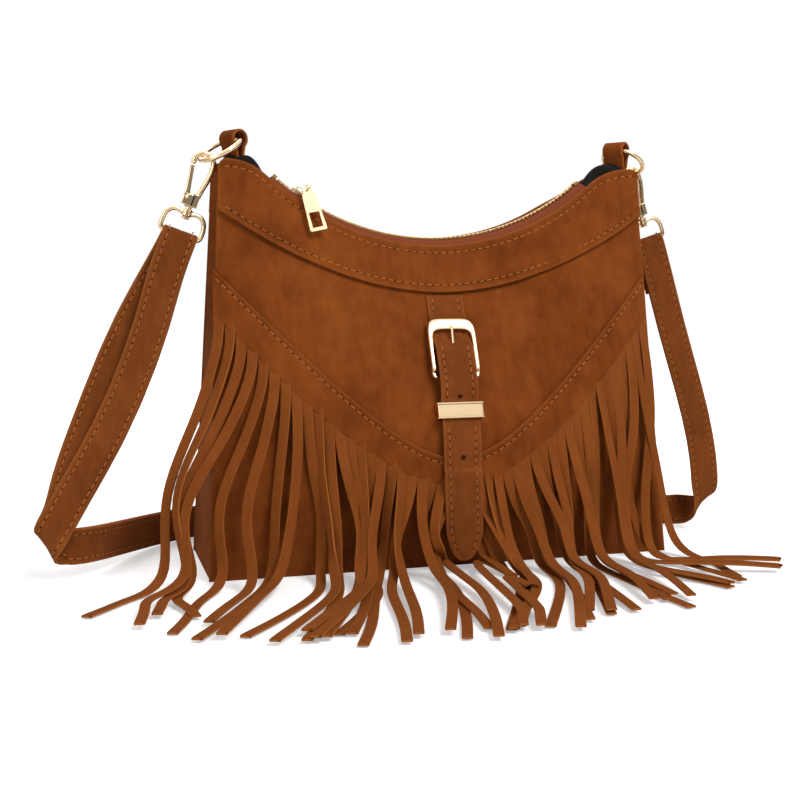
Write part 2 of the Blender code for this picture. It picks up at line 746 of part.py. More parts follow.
def zip_slider():
    """Plate over the teeth with a flange each side and an arched bail on top."""
    seat, along, rise, across = slider_frame()
    half = TEETH_W / 2 + SLIDER_CLEAR
    drop = TEETH_H + SLIDER_CLEAR - 0.0003
    stations = ((-0.5, 0.62), (-0.36, 0.92), (0.1, 1.0), (0.36, 1.0), (0.5, 0.80))
    rings = []
    for k, wide in stations:
        flange = half + 0.0010 * wide
        section = [(-flange, -drop), (-half, -drop), (-half, 0.0), (half, 0.0), (half, -drop), (flange, -drop), (flange, SLIDER_PLATE * 0.6), (flange * 0.7, SLIDER_PLATE), (-flange * 0.7, SLIDER_PLATE), (-flange, SLIDER_PLATE * 0.6)]
        centre = seat + along * k * SLIDER_L
        rings.append(np.array([centre + across * y + rise * z for y, z in section]))
    verts, faces = loft(rings)
    body = make("zip_slider", verts, faces, "gold")
    arch = []
    for t in np.linspace(radians(180), radians(0), 15):
        lift = SLIDER_PLATE * 0.5 + (BAIL_H + SLIDER_PLATE * 0.5) * min(1.0, 1.35 * sin(t))
        arch.append(seat + along * 0.0042 * cos(t) + rise * lift)
    verts, faces = tube(arch, BAIL_R, 8, False, across)
    bail = make("bail", verts, faces, "gold")
    return combine(body, [bail], "UNION")


def link_ends():
    seat, along, rise, across = slider_frame()
    first = seat + rise * (SLIDER_PLATE + BAIL_H) + along * 0.0004
    second = first - across * LINK_L
    return first, second


def pull_link():
    """Long wire link round the bail, reaching over the front edge."""
    seat, along, rise, across = slider_frame()
    first, second = link_ends()
    path = []
    for a in np.linspace(radians(90), radians(-90), 9):
        path.append(first + across * LINK_HALF * cos(a) + rise * LINK_HALF * sin(a))
    for a in np.linspace(radians(-90), radians(-270), 9):
        path.append(second + across * LINK_HALF * cos(a) + rise * LINK_HALF * sin(a))
    verts, faces = tube(path, LINK_R, 8, True, along)
    return make("pull_link", verts, faces, "gold")


def pull_frame():
    """Where the pull tab hangs: its hole, the way it hangs, across it, and its face."""
    seat, along, rise, across = slider_frame()
    first, second = link_ends()
    hole = second - rise * LINK_HALF
    lean = radians(12.0)
    tilt = radians(TAB_TILT)
    down = np.array((sin(lean), 0.0, -cos(lean)))
    down = unit(down * cos(tilt) + np.array((0, -1.0, 0)) * sin(tilt))
    wide = unit(np.cross(down, np.array((0, -1.0, 0))))
    face = np.cross(wide, down)
    return hole, down, wide, face


def pull_tab():
    hole, down, wide, face = pull_frame()
    outer = [(-0.0010, -0.0020), (0.0010, -0.0020), (0.0024, -0.0008), (0.0030, 0.0020), (0.0040, 0.0034), (TAB_W / 2, TAB_L - 0.0008), (TAB_W / 2 - 0.0008, TAB_L), (-TAB_W / 2 + 0.0008, TAB_L), (-TAB_W / 2, TAB_L - 0.0008), (-0.0040, 0.0034), (-0.0030, 0.0020), (-0.0024, -0.0008)]
    rings = []
    for k in (-1, 1):
        rings.append(np.array([hole + wide * a + down * b + face * k * TAB_T / 2 for a, b in outer]))
    verts, faces = loft(rings)
    plate = make("pull_tab", verts, faces, "gold")
    v, f = rod(hole + face * 0.004, hole - face * 0.004, TAB_HOLE, 16)
    eye = make("cut", v, f, "gold")
    middle = hole + down * (TAB_L * 0.76 - 0.0006)
    v, f = brick(middle, (wide, down, face), (TAB_W / 2 - 0.0019, TAB_L * 0.185, 0.004))
    window = make("cut", v, f, "gold")
    return combine(plate, [eye, window], "DIFFERENCE")


SIDES = {
    "left": {"bore": (-0.1180, 0.0, TAB_TOP_Z), "axis": unit((0.485, -0.874, 0.0)), "hang": unit((-0.337, 0.0, -0.941))},
    "right": {"bore": (0.1225, 0.0, TAB_TOP_Z), "axis": unit((0.600, -0.800, 0.0)), "hang": unit((0.305, 0.0, -0.952))},
}


def side_frame(side):
    """Places for one end: ring centre, where the hook hangs, and the hook's own axes."""
    data = SIDES[side]
    bore = np.array(data["bore"])
    axis = data["axis"]
    sign = -1.0 if side == "left" else 1.0
    level = unit(np.cross(axis, (0, 0, 1.0)))
    if level[0] * sign < 0:
        level = -level
    drop = radians(RING_DROP)
    out = level * cos(drop) + np.array((0, 0, -1.0)) * sin(drop)
    centre = bore + out * (RING_R - 0.0010)
    hold = centre + out * RING_R
    hang = data["hang"]
    wide = unit((-hang[2], 0.0, hang[0]))
    face = np.array((0.0, 1.0, 0.0))
    return bore, axis, level, out, centre, hold, hang, wide, face


def loop_tab(side):
    """Folded suede tab with a bore for the ring, sewn on above the gusset."""
    bore, axis, level, out, centre, hold, hang, wide, face = side_frame(side)
    outer = []
    inner = []
    r = BORE_R + SKIN
    low = GUSSET_TOP + GAP - TAB_TOP_Z
    for a in np.linspace(radians(-50), radians(230), 19):
        outer.append((r * cos(a), r * sin(a)))
        inner.append((BORE_R * cos(a), BORE_R * sin(a)))
    outer += [(-0.0022, low * 0.75), (-0.0020, low), (0.0020, low), (0.0022, low * 0.75)]
    for a in np.linspace(radians(240), radians(300), 4):
        inner.append((BORE_R * cos(a), BORE_R * sin(a)))
    up = np.array((0, 0, 1.0))
    places = []
    for end in (-1, 1):
        mid = bore + axis * end * TAB_WIDTH / 2
        places.append(np.array([mid + level * p + up * q for p, q in outer]))
        places.append(np.array([mid + level * p + up * q for p, q in inner]))
    order = [places[0], places[2], places[3], places[1]]
    verts, faces = loft(order, closed=True)
    return make("loop_tab_" + side, verts, faces, "suede")


def ring(side):
    bore, axis, level, out, centre, hold, hang, wide, face = side_frame(side)
    turns = np.linspace(0, 2 * pi, 24, endpoint=False)
    path = [centre + RING_R * (out * cos(a) + axis * sin(a)) for a in turns]
    normal = np.cross(out, axis)
    verts, faces = tube(path, RING_WIRE, 8, True, normal)
    return make("ring_" + side, verts, faces, "gold")


def place(side, points):
    """Points given as (across, down) from where the hook hangs."""
    bore, axis, level, out, centre, hold, hang, wide, face = side_frame(side)
    return [hold + wide * u + hang * d for u, d in points]


def gate_pin(side):
    """Middle of the rivet that the gate turns on."""
    bore, axis, level, out, centre, hold, hang, wide, face = side_frame(side)
    return hold - wide * PIN_ASIDE + hang * PIN_DOWN


def snap_hook(side):
    """Hook body: bight and bar, a block with two cheeks and a rivet, and the swivel stem with its head."""
    bore, axis, level, out, centre, hold, hang, wide, face = side_frame(side)
    mid = BIGHT_R - HOOK_WIRE - RING_WIRE - HOOK_GAP
    points = []
    for a in np.linspace(radians(188), radians(0), 16):
        points.append((BIGHT_R * cos(a), mid - BIGHT_R * sin(a)))
    points += [(0.0058, 0.0055), (0.0050, 0.0110), (0.0038, 0.0160), (0.0027, 0.0215)]
    verts, faces = tube(place(side, points), HOOK_WIRE, 8, False, face)
    body = make("snap_hook_" + side, verts, faces, "gold")
    parts = []
    middle = (BLOCK_TOP + BLOCK_LOW) / 2
    tall = (BLOCK_LOW - BLOCK_TOP) / 2
    v, f = brick(hold + wide * 0.0020 + hang * middle, (wide, hang, face), (0.0019, tall, 0.0023))
    parts.append(make("core", v, f, "gold"))
    v, f = brick(hold - wide * 0.0004 + hang * (BLOCK_LOW - 0.0004), (wide, hang, face), (0.0024, 0.0011, 0.0021))
    parts.append(make("foot", v, f, "gold"))
    for k in (-1, 1):
        v, f = brick(hold - wide * 0.0018 + hang * (middle + 0.0003) + face * k * 0.0018, (wide, hang, face), (0.0031, tall - 0.0006, 0.0005))
        parts.append(make("cheek", v, f, "gold"))
    pin = gate_pin(side)
    v, f = rod(pin - face * 0.0020, pin + face * 0.0020, RIVET_R, 12)
    parts.append(make("rivet", v, f, "gold"))
    v, f = rod(hold + hang * (BLOCK_LOW - 0.0005), hold + hang * 0.0344, STEM_R, 14)
    parts.append(make("stem", v, f, "gold"))
    v, f = rod(hold + hang * 0.0338, hold + hang * 0.0352, 0.0025, 14)
    parts.append(make("head", v, f, "gold"))
    return combine(body, parts, "UNION")


def hook_gate(side):
    """Sprung bar that closes the hook, turning on the rivet."""
    bore, axis, level, out, centre, hold, hang, wide, face = side_frame(side)
    pin = gate_pin(side)
    tip = hold - wide * 0.0056 + hang * 0.0046
    along = unit(tip - pin)
    cross = unit(np.cross(along, face))
    length = float(np.linalg.norm(tip - pin))
    rings = []
    for t, half in ((-0.0019, 0.0008), (-0.0012, 0.0016), (0.0012, 0.0018), (0.0040, 0.0013), (length, 0.0011)):
        c = pin + along * t
        rings.append(np.array([c + cross * half * p + face * GATE_HALF * q for p, q in ((-1, -1), (1, -1), (1, 1), (-1, 1))]))
    verts, faces = loft(rings)
    gate = make("hook_gate_" + side, verts, faces, "gold")
    v, f = rod(pin - face * 0.003, pin + face * 0.003, RIVET_R + 0.0002, 12)
    return combine(gate, [make("cut", v, f, "gold")], "DIFFERENCE")


def swivel_eye(side):
    """D-shaped eye with the swivel's boss on top."""
    bore, axis, level, out, centre, hold, hang, wide, face = side_frame(side)
    half = [(0.0023, 0.0314), (0.0060, 0.0306), (0.0092, 0.0318), (0.0112, 0.0345), (EYE_HALF, 0.0380), (EYE_HALF, 0.0415), (0.0112, 0.0437), (0.0094, EYE_BAR)]
    points = half + [(-u, d) for u, d in reversed(half)]
    verts, faces = tube(place(side, points), EYE_WIRE, 8, False, face)
    body = make("swivel_eye_" + side, verts, faces, "gold")
    v, f = rod(hold + hang * 0.0291, hold + hang * 0.0334, BOSS_R, 16)
    body = combine(body, [make("boss", v, f, "gold")], "UNION")
    v, f = rod(hold + hang * 0.0270, hold + hang * 0.0350, STEM_R + SWIVEL_GAP, 16)
    return combine(body, [make("cut", v, f, "gold")], "DIFFERENCE")


def roll(point, travel, sideways, axis_dir, radius, turn_to, steps=9):
    """Wrap a strap round a slanting line on the floor: half a turn, keeping its own width direction."""
    axis_dir = unit(axis_dir)
    start = np.asarray(point, float)
    travel = unit(travel)
    sideways = unit(sideways)
    along = float(np.dot(travel, axis_dir))
    normal = unit(turn_to)
    lead = unit(travel - along * axis_dir)
    rate = along / float(np.dot(travel, lead))
    keep = float(np.dot(sideways, axis_dir))
    cross = float(np.dot(sideways, lead))
    path = []
    wides = []
    for a in np.linspace(0.0, pi, steps):
        p = start + lead * radius * sin(a) + normal * radius * (1 - cos(a)) + axis_dir * rate * radius * a
        t = lead * cos(a) + normal * sin(a)
        path.append(p)
        wides.append(unit(keep * axis_dir + cross * t))
    return path, wides


def ribbon(name, path, wides, width, thickness, look):
    path = np.asarray(path, float)
    count = len(path)
    rings = []
    for i in range(count):
        t = unit(path[min(i + 1, count - 1)] - path[max(i - 1, 0)])
        w = np.asarray(wides[i], float)
        w = unit(w - np.dot(w, t) * t)
        n = np.cross(t, w)
        a = w * width / 2
        b = n * thickness / 2
        rings.append(np.array([path[i] - a - b, path[i] + a - b, path[i] + a + b, path[i] - a + b]))
    verts, faces = loft(rings)
    return make(name, verts, faces, look)


def blend_wides(first, last, count):
    first = unit(first)
    last = unit(last)
    return [unit(first * (1 - t) + last * t) for t in np.linspace(0, 1, count)]


def eye_fold(side, steps=9):
    """The strap's turn over the eye's bar, from the front to the back."""
    bore, axis, level, out, centre, hold, hang, wide, face = side_frame(side)
    bar = hold + hang * EYE_BAR
    turn = EYE_WIRE + GAP + STRAP_T / 2 + 0.0001
    path = []
    for a in np.linspace(radians(-90), radians(90), steps):
        path.append(bar + face * turn * sin(a) - hang * turn * cos(a))
    return path, [wide] * steps, bar, turn, hang, wide, face


def strap():
    """One long strip: slider behind the bag, up to the left eye, over it, down, behind the bag, up to the right eye."""
    floor = STRAP_W / 2 + 0.0008
    fold_path, fold_wides, bar, turn, hang, wide, face = eye_fold("left")
    front = bar - face * turn
    # outer layer, left side
    down = [front + hang * 0.002, front + hang * 0.025 + np.array((-0.001, 0, 0)), (-0.1655, front[1] + 0.003, 0.1400), (-0.1840, front[1] + 0.004, 0.0885), (-0.2040, front[1] + 0.003, 0.0520), (-0.2150, front[1] + 0.002, 0.0310)]
    down = list(bspline(down, 16))
    travel = unit(down[-1] - down[-2])
    flat = unit(np.cross(travel, (0, 1.0, 0)))
    if flat[0] < 0:
        flat = -flat
    bisector = unit(travel + np.array((1.0, 0, 0)))
    outer_roll, outer_wides = roll(down[-1], travel, flat, bisector, FOLD_R, (0, 1, 0))
    end = outer_roll[-1]
    lift = floor + 0.0035
    behind = [end, end + np.array((0.014, 0.002, 0)), (-0.172, 0.054, floor), (-0.130, 0.086, floor)]
    behind += [(-0.060, 0.100, floor), (0.000, 0.102, lift), (0.040, 0.101, lift), (0.095, 0.094, floor), (0.150, 0.070, floor)]
    # right side
    r_path, r_wides, r_bar, r_turn, r_hang, r_wide, r_face = eye_fold("right")
    r_front = r_bar - r_face * r_turn
    r_down = [r_front + r_hang * 0.002, r_front + r_hang * 0.025, (0.1700, r_front[1] - 0.002, 0.1300), (0.1850, r_front[1] - 0.004, 0.0850), (0.1935, r_front[1] - 0.004, 0.0500), (0.1955, r_front[1] - 0.003, 0.0285)]
    r_down = list(bspline(r_down, 16))
    r_travel = unit(r_down[-1] - r_down[-2])
    r_flat = unit(np.cross(r_travel, (0, 1.0, 0)))
    if r_flat[0] < 0:
        r_flat = -r_flat
    r_bisector = unit(r_travel + np.array((-1.0, 0, 0)))
    r_roll, r_roll_wides = roll(r_down[-1], r_travel, r_flat, r_bisector, FOLD_R, (0, 1, 0))
    r_end = r_roll[-1]
    behind += [r_end + np.array((-0.014, 0.002, 0)), r_end]
    behind = list(bspline(behind, 40))
    first_w = outer_wides[-1]
    last_w = r_roll_wides[-1]
    if last_w[2] * first_w[2] < 0:
        last_w = -last_w
    up_w = np.array((0, 0, float(np.sign(first_w[2]))))
    behind_w = blend_wides(first_w, up_w, 12) + [up_w] * 16 + blend_wides(up_w, last_w, 12)
    down_w = blend_wides(wide, flat, 16)
    r_down_w = blend_wides(r_wide, r_flat, 16)
    sign = 1.0 if np.dot(r_roll_wides[-1], last_w) > 0 else -1.0
    # inner layer, left side, back to the strap slider
    inner = FOLD_R - STRAP_T - LAYER_GAP
    back = bar + face * turn
    hind = [back + hang * 0.002, back + hang * 0.020 + np.array((-0.003, 0.001, 0)), (-0.1790, front[1] + 0.010, 0.1400), (-0.1980, front[1] + 0.010, 0.0885), (-0.2080, front[1] + 0.0075, 0.0560)]
    last = down[-1] + np.array((0, STRAP_T + LAYER_GAP, 0))
    hind.append(tuple(last - travel * 0.012))
    hind.append(tuple(last))
    hind = list(bspline(hind, 18))
    in_roll, in_wides = roll(last, travel, flat, bisector, inner, (0, 1, 0))
    in_end = in_roll[-1]
    trail = []
    for k in range(1, 24):
        t = unit(behind[k + 1] - behind[k - 1])
        n = unit(np.cross(t, (0, 0, 1.0)))
        trail.append(behind[k] + n * (STRAP_T + LAYER_GAP))
    trail_w = behind_w[1:24]
    path = trail[::-1] + in_roll[::-1] + hind[::-1][1:] + fold_path[::-1] + down[1:] + outer_roll[1:] + behind[1:-1]
    wides = trail_w[::-1] + in_wides[::-1] + blend_wides(wide, flat, 18)[::-1][1:] + fold_wides[::-1] + down_w[1:] + outer_wides[1:] + behind_w[1:-1]
    path += r_roll[::-1] + r_down[::-1][1:]
    wides += [w * sign for w in r_roll_wides[::-1]] + [w * sign for w in r_down_w[::-1][1:]]
    path += r_path[1:]
    wides += [w * sign for w in r_wides[1:]]
    r_back = r_bar + r_face * r_turn
    for t in (0.004, 0.010, 0.018, 0.026, 0.033):
        k = int(round(1 + t / 0.033 * 4))
        base_point = r_front + r_hang * t
        drift = np.interp(t, [0.0, 0.033], [0.0, 1.0])
        path.append(r_back + r_hang * t + np.array((0, -drift * 0.0012, 0)))
        wides.append(r_wide * sign)
    return ribbon("strap", path, wides, STRAP_W, STRAP_T, "suede"), trail[-1], trail_w[-1], unit(trail[-1] - trail[-2])


def strap_slider(middle, wide, travel):
    """Flat three-bar slider behind the bag: a frame round both layers of the strap."""
    wide = unit(wide)
    travel = unit(travel)
    out = unit(np.cross(wide, travel))
    half = STRAP_W / 2 + 0.0008
    away = 1.0 if out[1] < 0 else -1.0
    low = -(STRAP_T * 1.5 + LAYER_GAP + 0.0012)
    high = STRAP_T / 2 + 0.0006
    rings = []
    for k in (-1, 1):
        centre = middle - travel * 0.016 + travel * k * 0.0022
        outer = [(-half - 0.0016, low - 0.0014), (half + 0.0016, low - 0.0014), (half + 0.0016, high + 0.0014), (-half - 0.0016, high + 0.0014)]
        inner = [(-half, low), (half, low), (half, high), (-half, high)]
        rings.append([centre + wide * a + out * away * b for a, b in outer])
        rings.append([centre + wide * a + out * away * b for a, b in inner])
    order = [rings[0], rings[2], rings[3], rings[1]]
    verts, faces = loft([np.array(r) for r in order], closed=True)
    return make("strap_slider", verts, faces, "gold")


def pivot(name, point):
    """Put the origin of a moving piece on its joint's axis."""
    obj = bpy.data.objects[name]
    obj.data.transform(Matrix.Translation([-float(c) for c in point]))
    obj.location = [float(c) for c in point]


def pivots():
    first, second = link_ends()
    pivot("zip_slider", (0.0, 0.0, ZIP_CENTRE_Z))
    pivot("pull_link", first)
    pivot("pull_tab", pull_frame()[0])
    pivot("belt_keeper", (BELT_X, float(front_y(BELT_X, KEEPER_Z)), KEEPER_Z))
    for side in ("left", "right"):
        bore, axis, level, out, centre, hold, hang, wide, face = side_frame(side)
        pivot("ring_" + side, bore)
        pivot("swivel_eye_" + side, hold)
        pivot("snap_hook_" + side, hold)
        pivot("hook_gate_" + side, gate_pin(side))


def build():
    clear_scene()
    body_panels()
    gusset("gusset_left", -1)
    gusset("gusset_right", 1)
    base_panel()
    lining()
    fringe_flap()
    belt_strap()
    buckle_frame()
    buckle_prong()
    belt_chape()
    belt_keeper()
    zip_tape()
    zip_chain()
    zip_stop("zip_stop_left", -ZIP_ANGLE + 0.6)
    zip_stop("zip_stop_right", ZIP_ANGLE - 0.6)
    zip_slider()
    pull_link()
    pull_tab()
    for side in ("left", "right"):
        loop_tab(side)
        ring(side)
        snap_hook(side)
        hook_gate(side)
        swivel_eye(side)
    obj, middle, wide, travel = strap()
    strap_slider(middle, wide, travel)
    pivots()


build()
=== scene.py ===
# %% [markdown]
# # A fringed suede shoulder bag
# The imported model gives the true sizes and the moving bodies. This lesson dresses it: each soft
# piece is worked out again as a smooth surface, and each metal piece as a round tube or block.

# %% Load the frame
import bpy
import numpy as np
from math import radians, pi, sin, cos
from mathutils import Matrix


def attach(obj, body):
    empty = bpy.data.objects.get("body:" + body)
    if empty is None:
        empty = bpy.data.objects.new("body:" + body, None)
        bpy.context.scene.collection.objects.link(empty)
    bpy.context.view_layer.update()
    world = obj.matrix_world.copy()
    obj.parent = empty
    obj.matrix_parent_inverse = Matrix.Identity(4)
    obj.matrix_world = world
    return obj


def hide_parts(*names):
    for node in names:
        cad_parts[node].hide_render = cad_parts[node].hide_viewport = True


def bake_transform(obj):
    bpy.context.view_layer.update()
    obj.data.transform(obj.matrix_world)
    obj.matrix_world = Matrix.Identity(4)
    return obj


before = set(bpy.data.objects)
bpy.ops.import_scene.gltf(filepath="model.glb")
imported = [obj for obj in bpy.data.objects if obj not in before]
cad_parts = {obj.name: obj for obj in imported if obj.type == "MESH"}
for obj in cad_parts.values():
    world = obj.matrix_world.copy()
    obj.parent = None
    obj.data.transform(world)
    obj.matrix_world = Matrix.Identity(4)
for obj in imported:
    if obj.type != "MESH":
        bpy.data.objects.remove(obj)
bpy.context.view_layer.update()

# %% [markdown]
# The camera stands where the photograph was taken: a little to the left and a little above, with a
# long lens. Working this out first lets every later piece be judged in the same view.

# %% Camera
AZIMUTH, ELEVATION, DISTANCE = radians(-16.0), radians(6.0), 0.7237
FOCAL_PX, PHOTO_PX, SENSOR_MM = 1187.5, 800, 36.0
target = np.array([-0.0187, 0.0, 0.0945])
away = np.array([sin(AZIMUTH) * cos(ELEVATION), -cos(AZIMUTH) * cos(ELEVATION), sin(ELEVATION)])
lens = bpy.data.cameras.new("camera")
lens.sensor_width = SENSOR_MM
lens.lens = FOCAL_PX / PHOTO_PX * SENSOR_MM
camera = bpy.data.objects.new("camera", lens)
bpy.context.scene.collection.objects.link(camera)
camera.location = target + DISTANCE * away
camera.rotation_euler = (pi / 2 - ELEVATION, 0.0, AZIMUTH)
bpy.context.scene.camera = camera
bpy.context.scene.view_settings.view_transform = "Standard"
print("lens", round(lens.lens, 2), "mm")

# %% [markdown]
# Suede has no gloss, so it wants broad soft light. One large lamp from the upper right shapes the
# folds, a weaker one fills the left, a third stands behind, and a pale world does the rest. Only
# reflections see a world that is dark near the horizon, because gold between white walls would look
# like plaster.

# %% Lamps and world
LIT_POINT = np.array([0.0, 0.0, 0.09])


def lamp(name, place, size, power):
    """A square lamp at place, turned to face the lit point."""
    light = bpy.data.lights.new(name, "AREA")
    light.shape = "SQUARE"
    light.size = size
    light.energy = power
    obj = bpy.data.objects.new(name, light)
    bpy.context.scene.collection.objects.link(obj)
    toward = LIT_POINT - np.array(place)
    toward = toward / np.linalg.norm(toward)
    obj.location = place
    yaw = np.arctan2(toward[0], -toward[1])
    obj.rotation_euler = (np.arccos(-toward[2]), 0.0, yaw + pi)


lamp("key", (0.55, -1.1, 1.45), 0.8, 24.0)
lamp("fill", (-1.3, -0.9, 0.6), 1.0, 6.0)
lamp("back", (-0.3, 1.0, 1.3), 0.8, 9.0)

world = bpy.data.worlds.new("studio")
bpy.context.scene.world = world
world.use_nodes = True
nodes, links = world.node_tree.nodes, world.node_tree.links
nodes.clear()
rays = nodes.new("ShaderNodeLightPath")
seen = nodes.new("ShaderNodeMath")
seen.operation = "MAXIMUM"
links.new(rays.outputs["Is Camera Ray"], seen.inputs[0])
links.new(rays.outputs["Is Transmission Ray"], seen.inputs[1])
level = nodes.new("ShaderNodeMapRange")
level.inputs["To Min"].default_value = 0.30
level.inputs["To Max"].default_value = 1.0
links.new(seen.outputs[0], level.inputs["Value"])
glow = nodes.new("ShaderNodeBackground")
glow.inputs["Color"].default_value = (1.0, 1.0, 1.0, 1.0)
around = nodes.new("ShaderNodeTexCoord")
parts = nodes.new("ShaderNodeSeparateXYZ")
links.new(around.outputs["Generated"], parts.inputs[0])
bands = nodes.new("ShaderNodeMapRange")
bands.interpolation_type = "SMOOTHSTEP"
for socket, value in (("From Min", -0.10), ("From Max", 0.70), ("To Min", 0.12), ("To Max", 1.15)):
    bands.inputs[socket].default_value = value
links.new(parts.outputs[2], bands.inputs["Value"])
pick = nodes.new("ShaderNodeMix")
pick.data_type = "FLOAT"
links.new(rays.outputs["Is Glossy Ray"], pick.inputs[0])
links.new(level.outputs["Result"], pick.inputs[2])
links.new(bands.outputs["Result"], pick.inputs[3])
links.new(pick.outputs[0], glow.inputs["Strength"])
end = nodes.new("ShaderNodeOutputWorld")
links.new(glow.outputs[0], end.inputs["Surface"])
print("lamps", [light.name for light in bpy.data.lights])

# %% [markdown]
# The floor is white in the photograph and still takes the bag's shadow. A little emission that only
# the camera sees lifts the lit part to white and leaves the shadow. It grows with the distance from
# the bag, so that the far floor meets the white background without a line; the weaker glow near the
# bag is painted shade that deepens the bag's shadow.

# %% Floor


def grid_faces(index):
    """Quads of a grid of vertex numbers: each cell's four corners in turn."""
    return np.stack([index[:-1, :-1], index[1:, :-1], index[1:, 1:], index[:-1, 1:]], axis=-1).reshape(-1, 4)


def skin(name, verts, faces, material=None, sharp=40.0):
    """A mesh object from arrays; its faces are turned outward if its signed volume is negative."""
    verts = np.asarray(verts, float).reshape(-1, 3)
    loops = [np.asarray(f, int) for f in faces]
    fan = np.concatenate([np.stack([f[:, 0], f[:, i], f[:, i + 1]], 1)
                          for f in loops for i in range(1, f.shape[1] - 1)])
    a, b, c = verts[fan[:, 0]], verts[fan[:, 1]], verts[fan[:, 2]]
    if np.einsum("ij,ij->", a, np.cross(b, c)) < 0:
        loops = [f[:, ::-1] for f in loops]
    mesh = bpy.data.meshes.new(name)
    mesh.from_pydata(verts.tolist(), [], [q for f in loops for q in f.tolist()])
    mesh.shade_smooth()
    mesh.set_sharp_from_angle(angle=radians(sharp))
    obj = bpy.data.objects.new(name, mesh)
    bpy.context.scene.collection.objects.link(obj)
    if material:
        mesh.materials.append(material)
    return obj


def floor_finish():
    """White, with a glow for the camera alone that eases up from 0.12 to 0.8 m from the middle; the weaker
    glow near the middle is painted shade around the bag.
    """
    mat = bpy.data.materials.new("floor white with painted shade near bag")
    mat.use_nodes = True
    tree = mat.node_tree
    shader = tree.nodes["Principled BSDF"]
    shader.inputs["Base Color"].default_value = (0.92, 0.92, 0.92, 1.0)
    shader.inputs["Roughness"].default_value = 0.9
    shader.inputs["Specular IOR Level"].default_value = 0.1
    shader.inputs["Emission Color"].default_value = (1.0, 1.0, 1.0, 1.0)
    path = tree.nodes.new("ShaderNodeLightPath")
    weak = tree.nodes.new("ShaderNodeMath")
    weak.operation = "MULTIPLY"
    place = tree.nodes.new("ShaderNodeTexCoord")
    far = tree.nodes.new("ShaderNodeVectorMath")
    far.operation = "LENGTH"
    tree.links.new(place.outputs["Object"], far.inputs[0])
    # Less glow near the bag: a painted shade around it that deepens its shadow.
    rise = tree.nodes.new("ShaderNodeMapRange")
    rise.interpolation_type = "SMOOTHSTEP"
    for socket, value in (("From Min", 0.12), ("From Max", 0.8), ("To Min", 0.36), ("To Max", 0.76)):
        rise.inputs[socket].default_value = value
    tree.links.new(far.outputs["Value"], rise.inputs["Value"])
    tree.links.new(rise.outputs["Result"], weak.inputs[1])
    tree.links.new(path.outputs["Is Camera Ray"], weak.inputs[0])
    tree.links.new(weak.outputs[0], shader.inputs["Emission Strength"])
    return mat


FLOOR_HALF = 6.0
floor_corners = FLOOR_HALF * np.array([[-1, -1, 0], [1, -1, 0], [1, 1, 0], [-1, 1, 0]], float)
floor = skin("floor", floor_corners, [np.array([[0, 1, 2, 3]])], floor_finish())
print("floor", 2 * FLOOR_HALF, "m square")

# %% [markdown]
# Suede is a fine nap that lies in patches, lighter where it is brushed one way. A shared node group
# mixes large clouds, short streaks and tiny fibres, and gives a colour and a height. A real cut edge
# shows paler leather, so each soft mesh carries an "edge" value that blends the edge colour in.

# %% Suede


def nap_group():
    """Clouds, streaks and fibres: colour between two tones, and a height for the bump."""
    group = bpy.data.node_groups.new("nap", "ShaderNodeTree")
    group.interface.new_socket("Dark", in_out="INPUT", socket_type="NodeSocketColor")
    group.interface.new_socket("Light", in_out="INPUT", socket_type="NodeSocketColor")
    group.interface.new_socket("Patch", in_out="INPUT", socket_type="NodeSocketFloat")
    group.interface.new_socket("Colour", in_out="OUTPUT", socket_type="NodeSocketColor")
    group.interface.new_socket("Height", in_out="OUTPUT", socket_type="NodeSocketFloat")
    new, link = group.nodes.new, group.links.new
    start, stop = new("NodeGroupInput"), new("NodeGroupOutput")
    place = new("ShaderNodeTexCoord")

    def noise(scale, detail, stretch=None):
        """Noise on Object coordinates, scaled by stretch where one is given."""
        node = new("ShaderNodeTexNoise")
        node.inputs["Scale"].default_value = scale
        node.inputs["Detail"].default_value = detail
        node.inputs["Roughness"].default_value = 0.6
        if stretch:
            turn = new("ShaderNodeMapping")
            turn.inputs["Scale"].default_value = stretch
            link(place.outputs["Object"], turn.inputs["Vector"])
            link(turn.outputs[0], node.inputs["Vector"])
        else:
            link(place.outputs["Object"], node.inputs["Vector"])
        return node.outputs["Fac"]

    def combine(operation, a, b):
        """One math step on two values, each a number or a socket."""
        node = new("ShaderNodeMath")
        node.operation = operation
        for socket, value in zip(node.inputs, (a, b)):
            if isinstance(value, float):
                socket.default_value = value
            else:
                link(value, socket)
        return node.outputs[0]

    clouds = noise(22.0, 4.0)
    streaks = noise(160.0, 5.0, (1.0, 1.0, 0.45))
    fibres = noise(2600.0, 3.0)
    cloud_part = combine("MULTIPLY", combine("SUBTRACT", clouds, 0.5), start.outputs["Patch"])
    streak_part = combine("MULTIPLY", combine("SUBTRACT", streaks, 0.5), 0.9)
    fibre_part = combine("MULTIPLY", combine("SUBTRACT", fibres, 0.5), 0.7)
    total = combine("ADD", combine("ADD", combine("ADD", cloud_part, streak_part), fibre_part), 0.5)
    clip = new("ShaderNodeClamp")
    link(total, clip.inputs[0])
    mix = new("ShaderNodeMix")
    mix.data_type = "RGBA"
    link(clip.outputs[0], mix.inputs[0])
    link(start.outputs["Dark"], mix.inputs[6])
    link(start.outputs["Light"], mix.inputs[7])
    link(mix.outputs[2], stop.inputs["Colour"])
    height = combine("ADD", combine("MULTIPLY", streaks, 0.5), fibres)
    link(height, stop.inputs["Height"])
    return group


NAP = nap_group()


